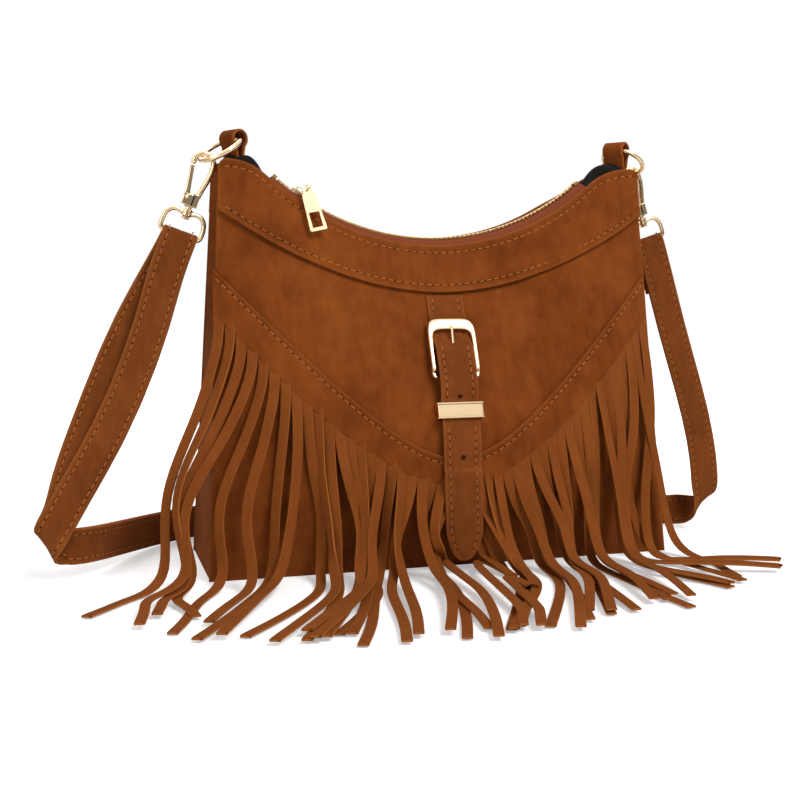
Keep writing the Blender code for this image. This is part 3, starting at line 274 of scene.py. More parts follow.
def suede(name, dark, light, edge, patch=1.5, bump=0.35):
    """Nap between two tones, mixed into the edge tone by the mesh's own edge value."""
    mat = bpy.data.materials.new(name)
    mat.use_nodes = True
    tree = mat.node_tree
    shader = tree.nodes["Principled BSDF"]
    nap = tree.nodes.new("ShaderNodeGroup")
    nap.node_tree = NAP
    nap.inputs["Dark"].default_value = (*dark, 1.0)
    nap.inputs["Light"].default_value = (*light, 1.0)
    nap.inputs["Patch"].default_value = patch
    rim = tree.nodes.new("ShaderNodeAttribute")
    rim.attribute_name = "edge"
    mix = tree.nodes.new("ShaderNodeMix")
    mix.data_type = "RGBA"
    tree.links.new(rim.outputs["Fac"], mix.inputs[0])
    tree.links.new(nap.outputs["Colour"], mix.inputs[6])
    mix.inputs[7].default_value = (*edge, 1.0)
    tree.links.new(mix.outputs[2], shader.inputs["Base Color"])
    rough = tree.nodes.new("ShaderNodeBump")
    rough.inputs["Strength"].default_value = bump
    rough.inputs["Distance"].default_value = 0.0006
    tree.links.new(nap.outputs["Height"], rough.inputs["Height"])
    tree.links.new(rough.outputs[0], shader.inputs["Normal"])
    shader.inputs["Roughness"].default_value = 0.95
    shader.inputs["Specular IOR Level"].default_value = 0.07
    shader.inputs["Sheen Weight"].default_value = 0.045
    shader.inputs["Sheen Roughness"].default_value = 0.5
    shader.inputs["Sheen Tint"].default_value = (0.90, 0.42, 0.16, 1.0)
    return mat


BODY_SUEDE = suede("body suede", (0.105, 0.0225, 0.0032), (0.262, 0.066, 0.0108), (0.32, 0.092, 0.018))
# The fringe is cut from the body's sheet; its light tone is set darker than the body's as painted shade
# between the strands.
FRINGE_SUEDE_SHADED = suede("fringe suede with painted shade", (0.100, 0.0215, 0.0030), (0.222, 0.056, 0.0092), (0.36, 0.112, 0.024),
                     patch=1.1)
STRAP_SUEDE = suede("strap suede", (0.112, 0.027, 0.0055), (0.240, 0.066, 0.0140), (0.36, 0.112, 0.026),
                    patch=1.2)
print("suede finishes", [m.name for m in (BODY_SUEDE, FRINGE_SUEDE_SHADED, STRAP_SUEDE)])

# %% [markdown]
# The metal is a pale gold plating, polished, with faint wear in its roughness, and the zip's teeth
# are a yellower gold. The tape is a woven ribbon, the lining a black cloth, and the thread is
# lighter than the suede.

# %% Metal, cloth and thread


def plain(name, colour, metallic, roughness, vary=0.0, scale=300.0):
    """A finish whose roughness wanders between roughness - vary and roughness + vary."""
    mat = bpy.data.materials.new(name)
    mat.use_nodes = True
    tree = mat.node_tree
    shader = tree.nodes["Principled BSDF"]
    shader.inputs["Base Color"].default_value = (*colour, 1.0)
    shader.inputs["Metallic"].default_value = metallic
    shader.inputs["Specular IOR Level"].default_value = 0.5 if metallic else 0.1
    place = tree.nodes.new("ShaderNodeTexCoord")
    noise = tree.nodes.new("ShaderNodeTexNoise")
    noise.inputs["Scale"].default_value = scale
    tree.links.new(place.outputs["Object"], noise.inputs["Vector"])
    span = tree.nodes.new("ShaderNodeMapRange")
    span.inputs["To Min"].default_value = roughness - vary
    span.inputs["To Max"].default_value = roughness + vary
    tree.links.new(noise.outputs["Fac"], span.inputs["Value"])
    tree.links.new(span.outputs["Result"], shader.inputs["Roughness"])
    return mat


def woven(name, colour, pitch):
    """Cloth: two crossed wave patterns make the bump."""
    mat = plain(name, colour, 0.0, 0.85, 0.08)
    tree = mat.node_tree
    shader = tree.nodes["Principled BSDF"]
    place = tree.nodes["Texture Coordinate"]
    rows = []
    for direction in ("X", "Z"):
        wave = tree.nodes.new("ShaderNodeTexWave")
        wave.bands_direction = direction
        wave.inputs["Scale"].default_value = 0.32 / pitch
        tree.links.new(place.outputs["Object"], wave.inputs["Vector"])
        rows.append(wave.outputs["Fac"])
    both = tree.nodes.new("ShaderNodeMath")
    both.operation = "MULTIPLY"
    tree.links.new(rows[0], both.inputs[0])
    tree.links.new(rows[1], both.inputs[1])
    bump = tree.nodes.new("ShaderNodeBump")
    bump.inputs["Strength"].default_value = 0.4
    bump.inputs["Distance"].default_value = 0.0004
    tree.links.new(both.outputs[0], bump.inputs["Height"])
    tree.links.new(bump.outputs[0], shader.inputs["Normal"])
    return mat


GOLD = plain("pale gold", (0.88, 0.66, 0.40), 1.0, 0.15, 0.04)
TEETH = plain("zip gold", (0.90, 0.62, 0.28), 1.0, 0.22, 0.05)
TAPE = woven("zip tape", (0.21, 0.050, 0.018), 0.0008)
LINING = woven("black lining", (0.008, 0.006, 0.005), 0.0010)
THREAD = plain("thread", (0.40, 0.135, 0.032), 0.0, 0.8, 0.1, 900.0)
# Dark brown painted as the shade inside needle holes and belt holes.
HOLE_SHADE = plain("needle holes painted shade", (0.030, 0.010, 0.003), 0.0, 0.95, 0.03)
print("other finishes", [m.name for m in (GOLD, TEETH, TAPE, LINING, THREAD, HOLE_SHADE)])

# %% [markdown]
# The body is sewn from panels that share one curved form. These functions are the form itself: the
# sagging mouth is an arc, the sides lean in, and the depth swells to a belly below the zip.

# %% The body's form
BASE_HALF, TOP_HALF, CORNER_Z, CORNER_R = 0.141, 0.129, 0.2355, 0.005
BASE_DEPTH, TOP_DEPTH, FRONT_BELLY, BACK_BELLY = 0.041, 0.0143, 0.022, 0.012
MOUTH_R, MOUTH_ARC_X, ARC_Z = 0.150, 0.100, 0.338
SKIN, YOKE_T, FLAP_T, SEAM_GAP = 0.0016, 0.0018, 0.0014, 0.0006
BELT_X, BELT_W, BELT_T = 0.0015, 0.0225, 0.0018


def unit(v):
    """Each vector divided by its length."""
    v = np.asarray(v, float)
    return v / np.linalg.norm(v, axis=-1, keepdims=True)


def smooth(value, low, high):
    """Ease from 0 at low to 1 at high."""
    t = np.clip((np.asarray(value, float) - low) / (high - low), 0.0, 1.0)
    return t * t * (3.0 - 2.0 * t)


def half_width(z):
    """Half the width: a straight line from the floor to the top corners."""
    return BASE_HALF + (TOP_HALF - BASE_HALF) * z / CORNER_Z


def mouth_z(x, rise=0.0):
    """Arc of the mouth in the middle, an easing curve to the level corners, and their rounding."""
    x = np.abs(x)
    radius = MOUTH_R - rise
    inner = ARC_Z - np.sqrt(np.maximum(radius ** 2 - np.minimum(x, MOUTH_ARC_X) ** 2, 0.0))
    start = ARC_Z - np.sqrt(radius ** 2 - MOUTH_ARC_X ** 2)
    slope = MOUTH_ARC_X / np.sqrt(radius ** 2 - MOUTH_ARC_X ** 2)
    span = TOP_HALF - MOUTH_ARC_X
    t = np.clip((x - MOUTH_ARC_X) / span, 0.0, 1.0)
    ease = (2 * t ** 3 - 3 * t ** 2 + 1) * start + (t ** 3 - 2 * t ** 2 + t) * slope * span
    ease = ease + (-2 * t ** 3 + 3 * t ** 2) * CORNER_Z
    near = np.clip(x - (TOP_HALF - CORNER_R), 0.0, CORNER_R * 0.98)
    return np.where(x > MOUTH_ARC_X, ease, inner) - (CORNER_R - np.sqrt(CORNER_R ** 2 - near ** 2))


def back_mouth(x):
    """The back's edge: the mouth 5 mm higher in the middle, easing to the same corners."""
    return mouth_z(x, 0.005 * (1.0 - smooth(np.abs(x), 0.07, 0.115)))


def yoke_z(x):
    """The yoke's seam: 160 mm up in the middle, rising with the power 1.9 of the distance."""
    return 0.160 + 0.0495 * (np.abs(x) / 0.134) ** 1.9


def flap_z(x):
    """The flap's upper edge: a hyperbola, 67 mm up in the middle, its far slope 1.1."""
    return 0.067 + np.sqrt((1.10 * x) ** 2 + 0.048 ** 2) - 0.048


def slit_z(x):
    """Where the slits start: 14 mm under the flap's edge, and 25 mm from 80 mm outwards."""
    return flap_z(x) - 0.014 - 0.011 * np.minimum(np.abs(x) / 0.08, 1.0)


def depth(x, z, belly=FRONT_BELLY):
    """The lesser of the mouth's slope and the bellied side, blended over 6 mm."""
    side = BASE_DEPTH - (BASE_DEPTH - TOP_DEPTH) * z / CORNER_Z
    across = np.clip(1.0 - (x / half_width(z)) ** 2, 0.0, 1.0)
    part = np.clip(z / mouth_z(np.minimum(np.abs(x), TOP_HALF - CORNER_R)), 0.0, 1.0)
    low = side + belly * across ** 0.8 * np.sin(pi * part ** 0.75)
    below = np.hypot(x, z - ARC_Z) - MOUTH_R
    high = 0.009 + 0.45 * np.maximum(below, -0.001) + 0.25 * np.maximum(np.abs(x) - 0.105, 0.0)
    mix = np.clip(0.5 + 0.5 * (high - low) / 0.006, 0.0, 1.0)
    return high + (low - high) * mix - 0.006 * mix * (1.0 - mix)


def on_body(side, x, z, off):
    """A point on the front (-1) or back (1), off metres proud of it."""
    d = depth(x, z, FRONT_BELLY if side < 0 else BACK_BELLY)
    return np.stack(np.broadcast_arrays(x, side * (d + off), z), axis=-1)


def body_normal(side, x, z):
    """The outward normal: cross product of two short steps, one across and one up."""
    e = 0.0008
    a = on_body(side, x + e, z, 0.0) - on_body(side, x - e, z, 0.0)
    b = on_body(side, x, z + e, 0.0) - on_body(side, x, z - e, 0.0)
    n = unit(np.cross(a, b))
    return n * np.where(n[..., 1:2] * side < 0, -1.0, 1.0)


print("belly", round(float(depth(np.array(0.0), np.array(0.09))) * 1000, 1), "mm deep to one side")

# %% [markdown]
# Every flat suede piece is a pillow: an outer and an inner grid that meet along their edge, so the
# edge is round like folded leather and the piece is closed without caps.

# %% Pillows and settling a piece
EDGE_FADE = 0.0009


def close_in(count):
    """Places from 0 to 1, crowded towards both ends, half a cosine wave."""
    return 0.5 - 0.5 * np.cos(np.linspace(0.0, pi, count))


def quarter(inset, radius):
    """Height of a quarter circle: 0 on the edge and 1 from one radius inwards."""
    return np.sqrt(1.0 - (1.0 - np.clip(inset / radius, 0.0, 1.0)) ** 2)


def pillow(name, outer, inner, material, edge=None):
    """Two grids that share their rim, closed into one shell; edge is a value per outer point."""
    n, m = outer.shape[:2]
    index = np.arange(n * m).reshape(n, m)
    inside = np.zeros((n, m), bool)
    inside[1:-1, 1:-1] = True
    back = index.copy()
    back[inside] = n * m + np.arange(inside.sum())
    verts = np.vstack([outer.reshape(-1, 3), inner[inside]])
    obj = skin(name, verts, [grid_faces(index), grid_faces(back)[:, ::-1]], material, 80.0)
    if edge is not None:
        values = np.concatenate([edge.ravel(), edge[inside]])
        attribute = obj.data.attributes.new("edge", "FLOAT", "POINT")
        attribute.data.foreach_set("value", values.astype(np.float32))
    return obj


def settle(obj, body, nodes=()):
    """Let a finished piece ride on its body and stand for its CAD nodes."""
    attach(obj, body)
    if nodes:
        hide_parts(*nodes)
    return obj


def leather_panel(name, side, low, high, off, thickness, columns, rows, nodes, relief=None):
    """A piece between two height curves; its edge is a quarter circle of half its thickness."""
    u = (2.0 * close_in(columns) - 1.0)[:, None]
    v = close_in(rows)[None, :]
    x = u * TOP_HALF + 0.0 * v
    for _ in range(4):
        z = low(x) + (high(x) - low(x)) * v
        x = u * half_width(z)
    wall = np.minimum(v, 1.0 - v) * (high(x) - low(x))
    ends = (1.0 - np.abs(u)) * half_width(z)
    p = quarter(np.minimum(wall, ends), 0.55 * thickness)
    raise_by = relief(x, z) * p if relief else 0.0
    outer = on_body(side, x, z, off + thickness * (0.5 + 0.5 * p) + raise_by)
    inner = on_body(side, x, z, off + thickness * (0.5 - 0.5 * p))
    edge = 0.55 * np.exp(-np.minimum(wall, ends) / EDGE_FADE)
    obj = pillow(name, outer, inner, BODY_SUEDE, edge)
    print(name, len(obj.data.vertices), "points")
    return settle(obj, "bag", nodes)


# %% [markdown]
# The front is soft cloth over nothing, so it creases gently. Low waves that run across the belly
# stand for the folds that a standing, half-empty bag has. The ends fold inwards towards the top, and
# the base is a flat sheet.

# %% Front, back, ends and base
FOOT_Z, GUSSET_TOP, FOLD_IN = 0.0019, 0.230, 0.010


def soft_waves(x, z):
    """Crossing low waves and two broad dents, about a millimetre, fading towards the base."""
    a = np.sin(38.0 * x + 55.0 * z + 1.0) * np.sin(47.0 * z - 12.0 * x)
    b = np.sin(90.0 * x - 40.0 * z + 2.0)
    dents = np.exp(-((x - 0.055 + 0.6 * (z - 0.15)) / 0.012) ** 2 - ((z - 0.145) / 0.03) ** 2)
    dents = dents + 0.8 * np.exp(-((x + 0.070 - 0.5 * (z - 0.13)) / 0.014) ** 2 - ((z - 0.13) / 0.035) ** 2)
    return (0.00060 * a + 0.00022 * b - 0.0019 * dents) * smooth(z, 0.01, 0.05)


def base_line(x):
    """The panels' lower edge, level on the floor."""
    return 0.0 * x


def under_yoke(x):
    """The panels' upper edge, 6 mm up behind the yoke."""
    return yoke_z(x) + 0.006


leather_panel("front_body", -1, base_line, under_yoke, -SKIN, SKIN, 120, 90, ["front_panel"], soft_waves)
leather_panel("back_body", 1, base_line, under_yoke, -SKIN, SKIN, 90, 70, ["back_panel"], soft_waves)


def gusset(side, name, node):
    """The end of the bag: a strip whose middle folds inward more and more towards the top."""
    v = (2.0 * close_in(60) - 1.0)[None, :]
    z = FOOT_Z + (GUSSET_TOP - FOOT_Z) * close_in(90)[:, None] + 0.0 * v
    reach = depth(half_width(z), z) - SKIN - 0.0003
    fold = FOLD_IN * smooth(z, 0.06, GUSSET_TOP)
    x = half_width(z) - fold * (1.0 - np.sqrt(v ** 2 + 0.01)) - 0.0004
    p = quarter(np.minimum(np.minimum(z - FOOT_Z, GUSSET_TOP - z), reach * (1.0 - np.abs(v))), SKIN / 2)
    middle = x - SKIN / 2
    outer = np.stack([side * (middle + SKIN / 2 * p), v * reach, z], axis=-1)
    inner = np.stack([side * (middle - SKIN / 2 * p), v * reach, z], axis=-1)
    obj = pillow(name, outer, inner, BODY_SUEDE, 0.0 * z)
    return settle(obj, "bag", [node])


gusset(-1, "end_left", "gusset_left")
gusset(1, "end_right", "gusset_right")

half_x, half_y, half_t = 0.1404, 0.0390, SKIN / 2
u, v = np.meshgrid(2 * close_in(50) - 1, 2 * close_in(30) - 1, indexing="ij")
p = quarter(np.minimum((1 - np.abs(u)) * half_x, (1 - np.abs(v)) * half_y), half_t)
under = np.stack([u * half_x, v * half_y, half_t - half_t * p], axis=-1)
above = np.stack([u * half_x, v * half_y, half_t + half_t * p], axis=-1)
settle(pillow("base_sheet", above, under, BODY_SUEDE, 0.0 * p), "bag", ["base_panel"])

# %% [markdown]
# The yokes are turned over at their edges, so the edge is a soft ridge with the stitch row pressed
# in beside it. The ridge and the groove are bell curves of the distance from the edge.

# %% Yokes
YOKE_ROW = 0.0042


def turned_edge(distance, row):
    """A ridge at the folded edge and a groove where the thread pulls the suede down."""
    return 0.0007 * np.exp(-(distance / 0.0022) ** 2) - 0.0004 * np.exp(-((distance - row) / 0.0011) ** 2)


def front_relief(x, z):
    """Turned edges at the seam and the mouth, plus six tenths of the body's waves."""
    edges = turned_edge(z - yoke_z(x), YOKE_ROW) + turned_edge(mouth_z(x) - z, YOKE_ROW)
    return edges + 0.6 * soft_waves(x, z)


def back_relief(x, z):
    """Turned edges at the seam and at the back's mouth."""
    return turned_edge(z - yoke_z(x), YOKE_ROW) + turned_edge(back_mouth(x) - z, YOKE_ROW)


leather_panel("front_yoke_suede", -1, yoke_z, mouth_z, SEAM_GAP, YOKE_T, 140, 60, ["front_yoke"],
              front_relief)
leather_panel("back_yoke_suede", 1, yoke_z, back_mouth, SEAM_GAP, YOKE_T, 120, 50, ["back_yoke"],
              back_relief)

# %% [markdown]
# At the corners the black lining bunches up between the front and the back and shows above the
# front edge. A small arched sheet with a slanting ripple stands for that fold at each end.

# %% Lining in the corners
LINING_X, LINING_REACH = 0.1005, 0.0235


def corner_lining(side, name):
    """Arch across the mouth: height falls as a power of the distance from the middle, plus a sine."""
    u = close_in(40)[:, None]
    v = (2.0 * close_in(30) - 1.0)[None, :]
    x = LINING_X + LINING_REACH * u + 0.0 * v
    y = v * (depth(x, mouth_z(x)) - 0.0012)
    swell = np.sin(pi * np.clip(u * 0.92 + 0.04, 0, 1)) ** 0.6
    top = mouth_z(x) - 0.0020 + 0.0075 * swell * (1.0 - np.abs(v) ** 2.2) + 0.0010 * np.sin(9.0 * u + 4.0 * v)
    p = quarter(np.minimum(np.minimum(u, 1.0 - u) * LINING_REACH, (1.0 - np.abs(v)) * 0.010), 0.0008)
    outer = np.stack([side * x, y, top + 0.0003 * p], axis=-1)
    inner = np.stack([side * x, y, top - 0.0009 * p], axis=-1)
    return settle(pillow(name, outer, inner, LINING), "bag", ())


corner_lining(-1, "corner_lining_left")
corner_lining(1, "corner_lining_right")
inside = bpy.data.objects["lining"]
inside.data.materials.clear()
inside.data.materials.append(LINING)
print("lining in both corners and inside")

# %% [markdown]
# The belt lies on the belly and hangs straight below it, with a pointed tip. Its inner face follows
# a short table of stand-offs, because it passes over the buckle's bar and under its rim.

# %% Belt
BELT_TIP, BELT_TOP, HANG_Z, TIP_Z, TIP_LONG = 0.0082, 0.1585, 0.060, 0.027, 0.0192


def belt_y(z):
    """Inner face of the belt: on the front down to 60 mm up, hanging straight below."""
    heights = (0.008, HANG_Z, 0.078, 0.088, 0.0995, 0.1035, 0.1080,
               0.1123, 0.1210, 0.1290, 0.1345, 0.1395, 0.150, 0.160)
    offsets = (0.0032, 0.0032, 0.0034, 0.0038, 0.0042, 0.0064, 0.0077,
               0.0079, 0.0079, 0.0076, 0.0022, 0.0014, 0.0005, 0.0004)
    high = np.maximum(z, HANG_Z)
    y = -(depth(BELT_X + 0.0 * high, high) + np.interp(high, heights, offsets))
    return np.where(z >= HANG_Z, y, y - 0.0022 * smooth(HANG_Z - z, 0.0, 0.04) - 0.0014)


def belt_half(z):
    """Half the width: full above the tip, an ellipse with a slight point below."""
    t = np.clip((TIP_Z - z) / TIP_LONG, 0.0, 1.0)
    return BELT_W / 2 * np.sqrt(np.maximum(1.0 - t ** 1.7, 0.0))


z = (BELT_TIP + (BELT_TOP - BELT_TIP) * close_in(220))[:, None]
v = (2.0 * close_in(36) - 1.0)[None, :]
half = np.maximum(belt_half(z), 0.0004)
inset = half * (1.0 - np.abs(v))
p = quarter(np.minimum(np.minimum(z - BELT_TIP, BELT_TOP - z) + 0.0 * v, inset), 0.0009)
groove = -0.00035 * np.exp(-((inset - 0.0034) / 0.0008) ** 2)
y = belt_y(z)
outer = np.stack([BELT_X + half * v, y - BELT_T * (0.5 + 0.5 * p) - groove * p, z + 0.0 * v], axis=-1)
inner = np.stack([BELT_X + half * v, y - BELT_T * (0.5 - 0.5 * p), z + 0.0 * v], axis=-1)
settle(pillow("belt_suede", outer, inner, STRAP_SUEDE, 0.7 * np.exp(-inset / 0.0007)), "bag", ["belt_strap"])
print("belt", round(BELT_TOP - BELT_TIP, 4), "m from tip to top")

# %% [markdown]
# The fringe is cut from the flap's own sheet. One smooth curve per strand starts at its slit, falls
# down the front, bends at the floor and trails forward. All strands are worked out together as one
# array, and a cubic spline basis turns their few control points into a smooth line.

# %% Strand lines
STRANDS, STRAND_W, STEPS = 46, 0.0050, 72
FIRST_X, ROW_LONG = -0.1345, 0.2655


def bspline(control, count):
    """Uniform cubic B-spline through its first and last point; control is (..., n, 3)."""
    p = np.asarray(control, float)
    first, last = p[..., :1, :], p[..., -1:, :]
    p = np.concatenate([first, first, p, last, last], axis=-2)
    segments = p.shape[-2] - 3
    t = np.linspace(0.0, segments, count)
    k = np.minimum(t.astype(int), segments - 1)
    f = (t - k)[:, None]
    weights = ((1 - f) ** 3, 3 * f ** 3 - 6 * f ** 2 + 4, -3 * f ** 3 + 3 * f ** 2 + 3 * f + 1, f ** 3)
    return sum(w / 6 * p[..., k + i, :] for i, w in enumerate(weights))


s = (np.arange(STRANDS) + 0.5) / STRANDS
odd = np.arange(STRANDS) % 2
chance = np.random.default_rng(11)
x0 = FIRST_X + ROW_LONG * s
z0 = slit_z(x0)
y0 = -(depth(x0, z0) + SEAM_GAP + FLAP_T / 2)
bunch = (np.arange(STRANDS) + chance.integers(0, 2, STRANDS)) // 4
gather = (np.bincount(bunch, x0) / np.maximum(np.bincount(bunch), 1))[bunch] - x0
curl = smooth(s, 0.88, 0.93) * odd
outer_left = smooth(1 - s, 0.83, 0.92)
mid = (0.006 * np.sin(2 * pi * (s * 1.6 + 0.05)) * smooth(s, 0.15, 0.35)
       - 0.030 * outer_left + 0.010 * smooth(s, 0.90, 1.0))
mid = mid + 0.40 * gather + chance.normal(0, 0.0016, STRANDS)
low = ((0.011 + 0.010 * np.sin(2 * pi * (s * 2.1 - 0.05))) * smooth(s, 0.12, 0.24)
       - 0.034 * outer_left + 0.012 * smooth(s, 0.88, 1.0))
low = low + 0.75 * gather - 0.052 * curl + chance.normal(0, 0.0045, STRANDS)
tip_x = (-0.200 + 0.350 * s + 0.020 * smooth(s, 0.90, 1.0) + 0.3 * gather + 0.020 * curl
         + chance.normal(0, 0.010, STRANDS))
tip_x = np.clip(tip_x, -0.216, 0.196)
tip_y = -0.082 - 0.101 * np.sin(pi * s) ** 0.55 + chance.uniform(-0.007, 0.014, STRANDS)
spread = np.sign(x0) * 0.005 * np.maximum(0.0, 1.0 - np.abs(x0) / 0.06)
layer = np.array([0, 2, 1, 3])[np.arange(STRANDS) % 4]
lay = FLAP_T / 2 + 0.0006 + 0.0017 * layer
front = np.minimum(-depth(x0, 0.08 + 0 * x0), y0) - 0.002 - 0.002 * layer - chance.uniform(0, 0.006, STRANDS)
land = front - 0.010 - 0.008 * odd
high = z0 + 0.005
control = np.stack([
    np.stack([x0, -(depth(x0, high) + SEAM_GAP + FLAP_T / 2 - 0.00015), high], -1),
    np.stack([x0, y0, z0], -1),
    np.stack([x0, y0 - 0.0006, z0 * 0.90], -1),
    np.stack([x0 + spread * 0.8 + mid * 0.5, np.minimum(y0, front + 0.002) - 0.0004, z0 * 0.62], -1),
    np.stack([x0 + spread + mid + low * 0.3, front, z0 * 0.30 + 0.004], -1),
    np.stack([x0 + spread + low * 0.6 + (tip_x - x0) * 0.15, land + 0.004, lay + 0.0005], -1),
    np.stack([x0 + spread * 0.8 + low + (tip_x - x0) * 0.35, land - 0.022, lay], -1),
    np.stack([tip_x * 0.7 + x0 * 0.3 + low * 0.4, tip_y * 0.7 + land * 0.3, lay], -1),
    np.stack([tip_x, tip_y, FLAP_T / 2 + 0.0006 + 0.45 * (lay - FLAP_T / 2)], -1),
], axis=1)
strands = bspline(control, STEPS)
x, y, z = strands[..., 0], strands[..., 1], strands[..., 2]
start_z = z0[:, None]
clear = FLAP_T / 2 + SEAM_GAP - 0.00015 + (0.0012 + 0.0011 * layer[:, None]) * smooth(start_z - z, 0.0, 0.030)
held_x = np.clip(x, -half_width(z), half_width(z))
over_body = np.abs(x) < half_width(z) + 0.004
y = np.where(over_body, np.minimum(y, -(depth(held_x, z) + clear)), y)
under_belt = (np.abs(x - BELT_X) < BELT_W / 2 + 0.004) & (z > 0.0060)
y = np.where(under_belt, np.maximum(y, belt_y(np.maximum(z, 0.008)) + 0.0006 + FLAP_T / 2), y)
for _ in range(3):
    y[:, 1:-1] = 0.25 * y[:, :-2] + 0.5 * y[:, 1:-1] + 0.25 * y[:, 2:]
strands = np.stack([x, y, z], axis=-1)
length = np.linalg.norm(np.diff(strands, axis=1), axis=-1).sum(axis=1)
print("strands", STRANDS, "length", np.round(length.min(), 3), "to", np.round(length.max(), 3), "m")

# %% [markdown]
# Each strand is a flat strip with square-cut edges, which show paler. The strip turns a little about
# its own line on the way down and lies flat again on the floor.

# %% Strands as strips


def strip_profile(width, thickness, corner=0.00025):
    """Eight corners of a rectangle with small chamfers, and how much each is a cut edge."""
    w, t, c = width / 2, thickness / 2, corner
    points = [(-w, -t + c), (-w, t - c), (-w + c, t), (w - c, t),
              (w, t - c), (w, -t + c), (w - c, -t), (-w + c, -t)]
    return np.array(points), np.array([1, 1, 0.25, 0.25, 1, 1, 0.25, 0.25], float)


def ring_faces(index):
    """Quads between neighbouring rings of point numbers; the last axis runs round a ring."""
    after = np.roll(index, -1, axis=-1)
    corners = [index[..., :-1, :], after[..., :-1, :], after[..., 1:, :], index[..., 1:, :]]
    return np.stack(corners, axis=-1).reshape(-1, 4)


def sweep(name, paths, sides, profile, weight, material, sharp=35.0, widen=None):
    """Carry a profile along each path: point = path + side * a + normal * b, capped at both ends."""
    paths = np.asarray(paths, float)
    along = unit(np.gradient(paths, axis=1))
    sides = sides - along * np.sum(sides * along, axis=-1, keepdims=True)
    sides = unit(sides)
    normal = np.cross(along, sides)
    k, n, m = paths.shape[0], paths.shape[1], len(profile)
    a = profile[:, 0][None, None, :, None] * (1.0 if widen is None else widen[..., None, None])
    b = profile[:, 1][None, None, :, None]
    verts = paths[:, :, None, :] + sides[:, :, None, :] * a + normal[:, :, None, :] * b
    index = np.arange(k * n * m).reshape(k, n, m)
    caps = np.concatenate([index[:, 0, ::-1], index[:, -1, :]])
    obj = skin(name, verts, [ring_faces(index), caps], material, sharp)
    attribute = obj.data.attributes.new("edge", "FLOAT", "POINT")
    attribute.data.foreach_set("value", np.tile(weight, k * n).astype(np.float32))
    return obj


along = unit(np.gradient(strands, axis=1))
most = np.radians(chance.normal(0, 34, STRANDS))[:, None]
turn = most * np.sin(pi * np.linspace(0, 1, STEPS) ** 1.2)[None, :] ** 2 * smooth(z, 0.003, 0.022)
slope = (depth(x0 - 0.003, z0) - depth(x0 + 0.003, z0))[:, None] / 0.006
slope = slope * (1 - smooth(start_z - z, 0.015, 0.05))
lean = np.stack([np.ones_like(z), slope, np.zeros_like(z)], axis=-1)
lean = unit(lean - along * np.sum(lean * along, axis=-1, keepdims=True))
face = np.cross(along, lean)
lean = lean * np.cos(turn)[..., None] + face * np.sin(turn)[..., None]
profile, weight = strip_profile(STRAND_W, FLAP_T - 0.0002)
broad = 1.10 + 0.05 * (1 - smooth(start_z - z, 0.0, 0.050))
fringe = sweep("fringe_strands", strands, lean, profile, weight, FRINGE_SUEDE_SHADED, widen=broad)
settle(fringe, "bag", ["fringe_flap"])
print("fringe", STRANDS, "strands of", STEPS, "stations")

# %% [markdown]
# The uncut part of the flap is a V-shaped pillow over the strands' upper ends, with a turned edge
# along its top.

# %% Flap band
BAND_MID, BAND_HALF, BAND_LAP = -0.00175, 0.13275, 0.0012

u = (2.0 * close_in(160) - 1.0)[:, None]
v = close_in(40)[None, :]
band_x = BAND_MID + u * BAND_HALF + 0.0 * v
band_z = slit_z(band_x) - BAND_LAP + (flap_z(band_x) - slit_z(band_x) + BAND_LAP) * v
wall = (1.0 - v) * (flap_z(band_x) - slit_z(band_x))
p = quarter(np.minimum(np.minimum(wall, v * 0.02), (1.0 - np.abs(u)) * 0.13), 0.0008)
relief = turned_edge(wall, 0.0040) * p
outer = on_body(-1, band_x, band_z, SEAM_GAP + FLAP_T * (0.5 + 0.5 * p) + relief)
inner = on_body(-1, band_x, band_z, SEAM_GAP + FLAP_T * (0.5 - 0.5 * p))
settle(pillow("flap_band", outer, inner, BODY_SUEDE, 0.45 * np.exp(-wall / EDGE_FADE)), "bag")
print("flap band", outer.shape[0], "by", outer.shape[1], "points")

# %% [markdown]
# Each end has a ring hung in a suede loop, a hook on the ring and an eye on the hook. The two ends
# hang as they fell, so each has its own bore, ring axis and hanging line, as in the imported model.

# %% Ends: where the rings, hooks and eyes are
SIDES = {
    "left": ((-0.1180, 0.0, 0.2475), (0.485, -0.874, 0.0), (-0.337, 0.0, -0.941), "l"),
    "right": ((0.1225, 0.0, 0.2475), (0.600, -0.800, 0.0), (0.305, 0.0, -0.952), "r"),
}
RING_R, RING_WIRE, HOOK_WIRE, EYE_WIRE, EYE_BAR = 0.0125, 0.0015, 0.0016, 0.0014, 0.0445
ROUND = 0.94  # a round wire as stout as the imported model's eight-sided one
STRAP_W, STRAP_T, FOLD_R, LAYER_GAP = 0.0200, 0.0020, 0.0080, 0.0006
RING_DROP = radians(33)
FACE = np.array([0.0, 1.0, 0.0])


def end_frame(side):
    """Bore, ring axis, outward line, ring centre, hanging point, and the hook's down and across."""
    bore, axis, hang, _ = SIDES[side]
    bore, axis, hang = np.array(bore), unit(axis), unit(hang)
    level = unit(np.cross(axis, (0, 0, 1.0)))
    level = level if level[0] * (-1 if side == "left" else 1) > 0 else -level
    out = level * cos(RING_DROP) + np.array([0, 0, -1.0]) * sin(RING_DROP)
    centre = bore + out * (RING_R - 0.0010)
    hold = centre + out * RING_R
    wide = unit([-hang[2], 0.0, hang[0]])
    return bore, axis, level, out, centre, hold, hang, wide


print("ends", list(SIDES))

# %% [markdown]
# The strap is one long strip: doubled on the left, over the eye's bar, down to the floor, behind the
# bag and up to the right eye. The route is built from splines and half turns, near the packed
# strap's own, and evened out to a point every 2 mm.

# %% Strap route
FLOOR_Z = STRAP_W / 2 + 0.0008
JOIN_X = 0.0300


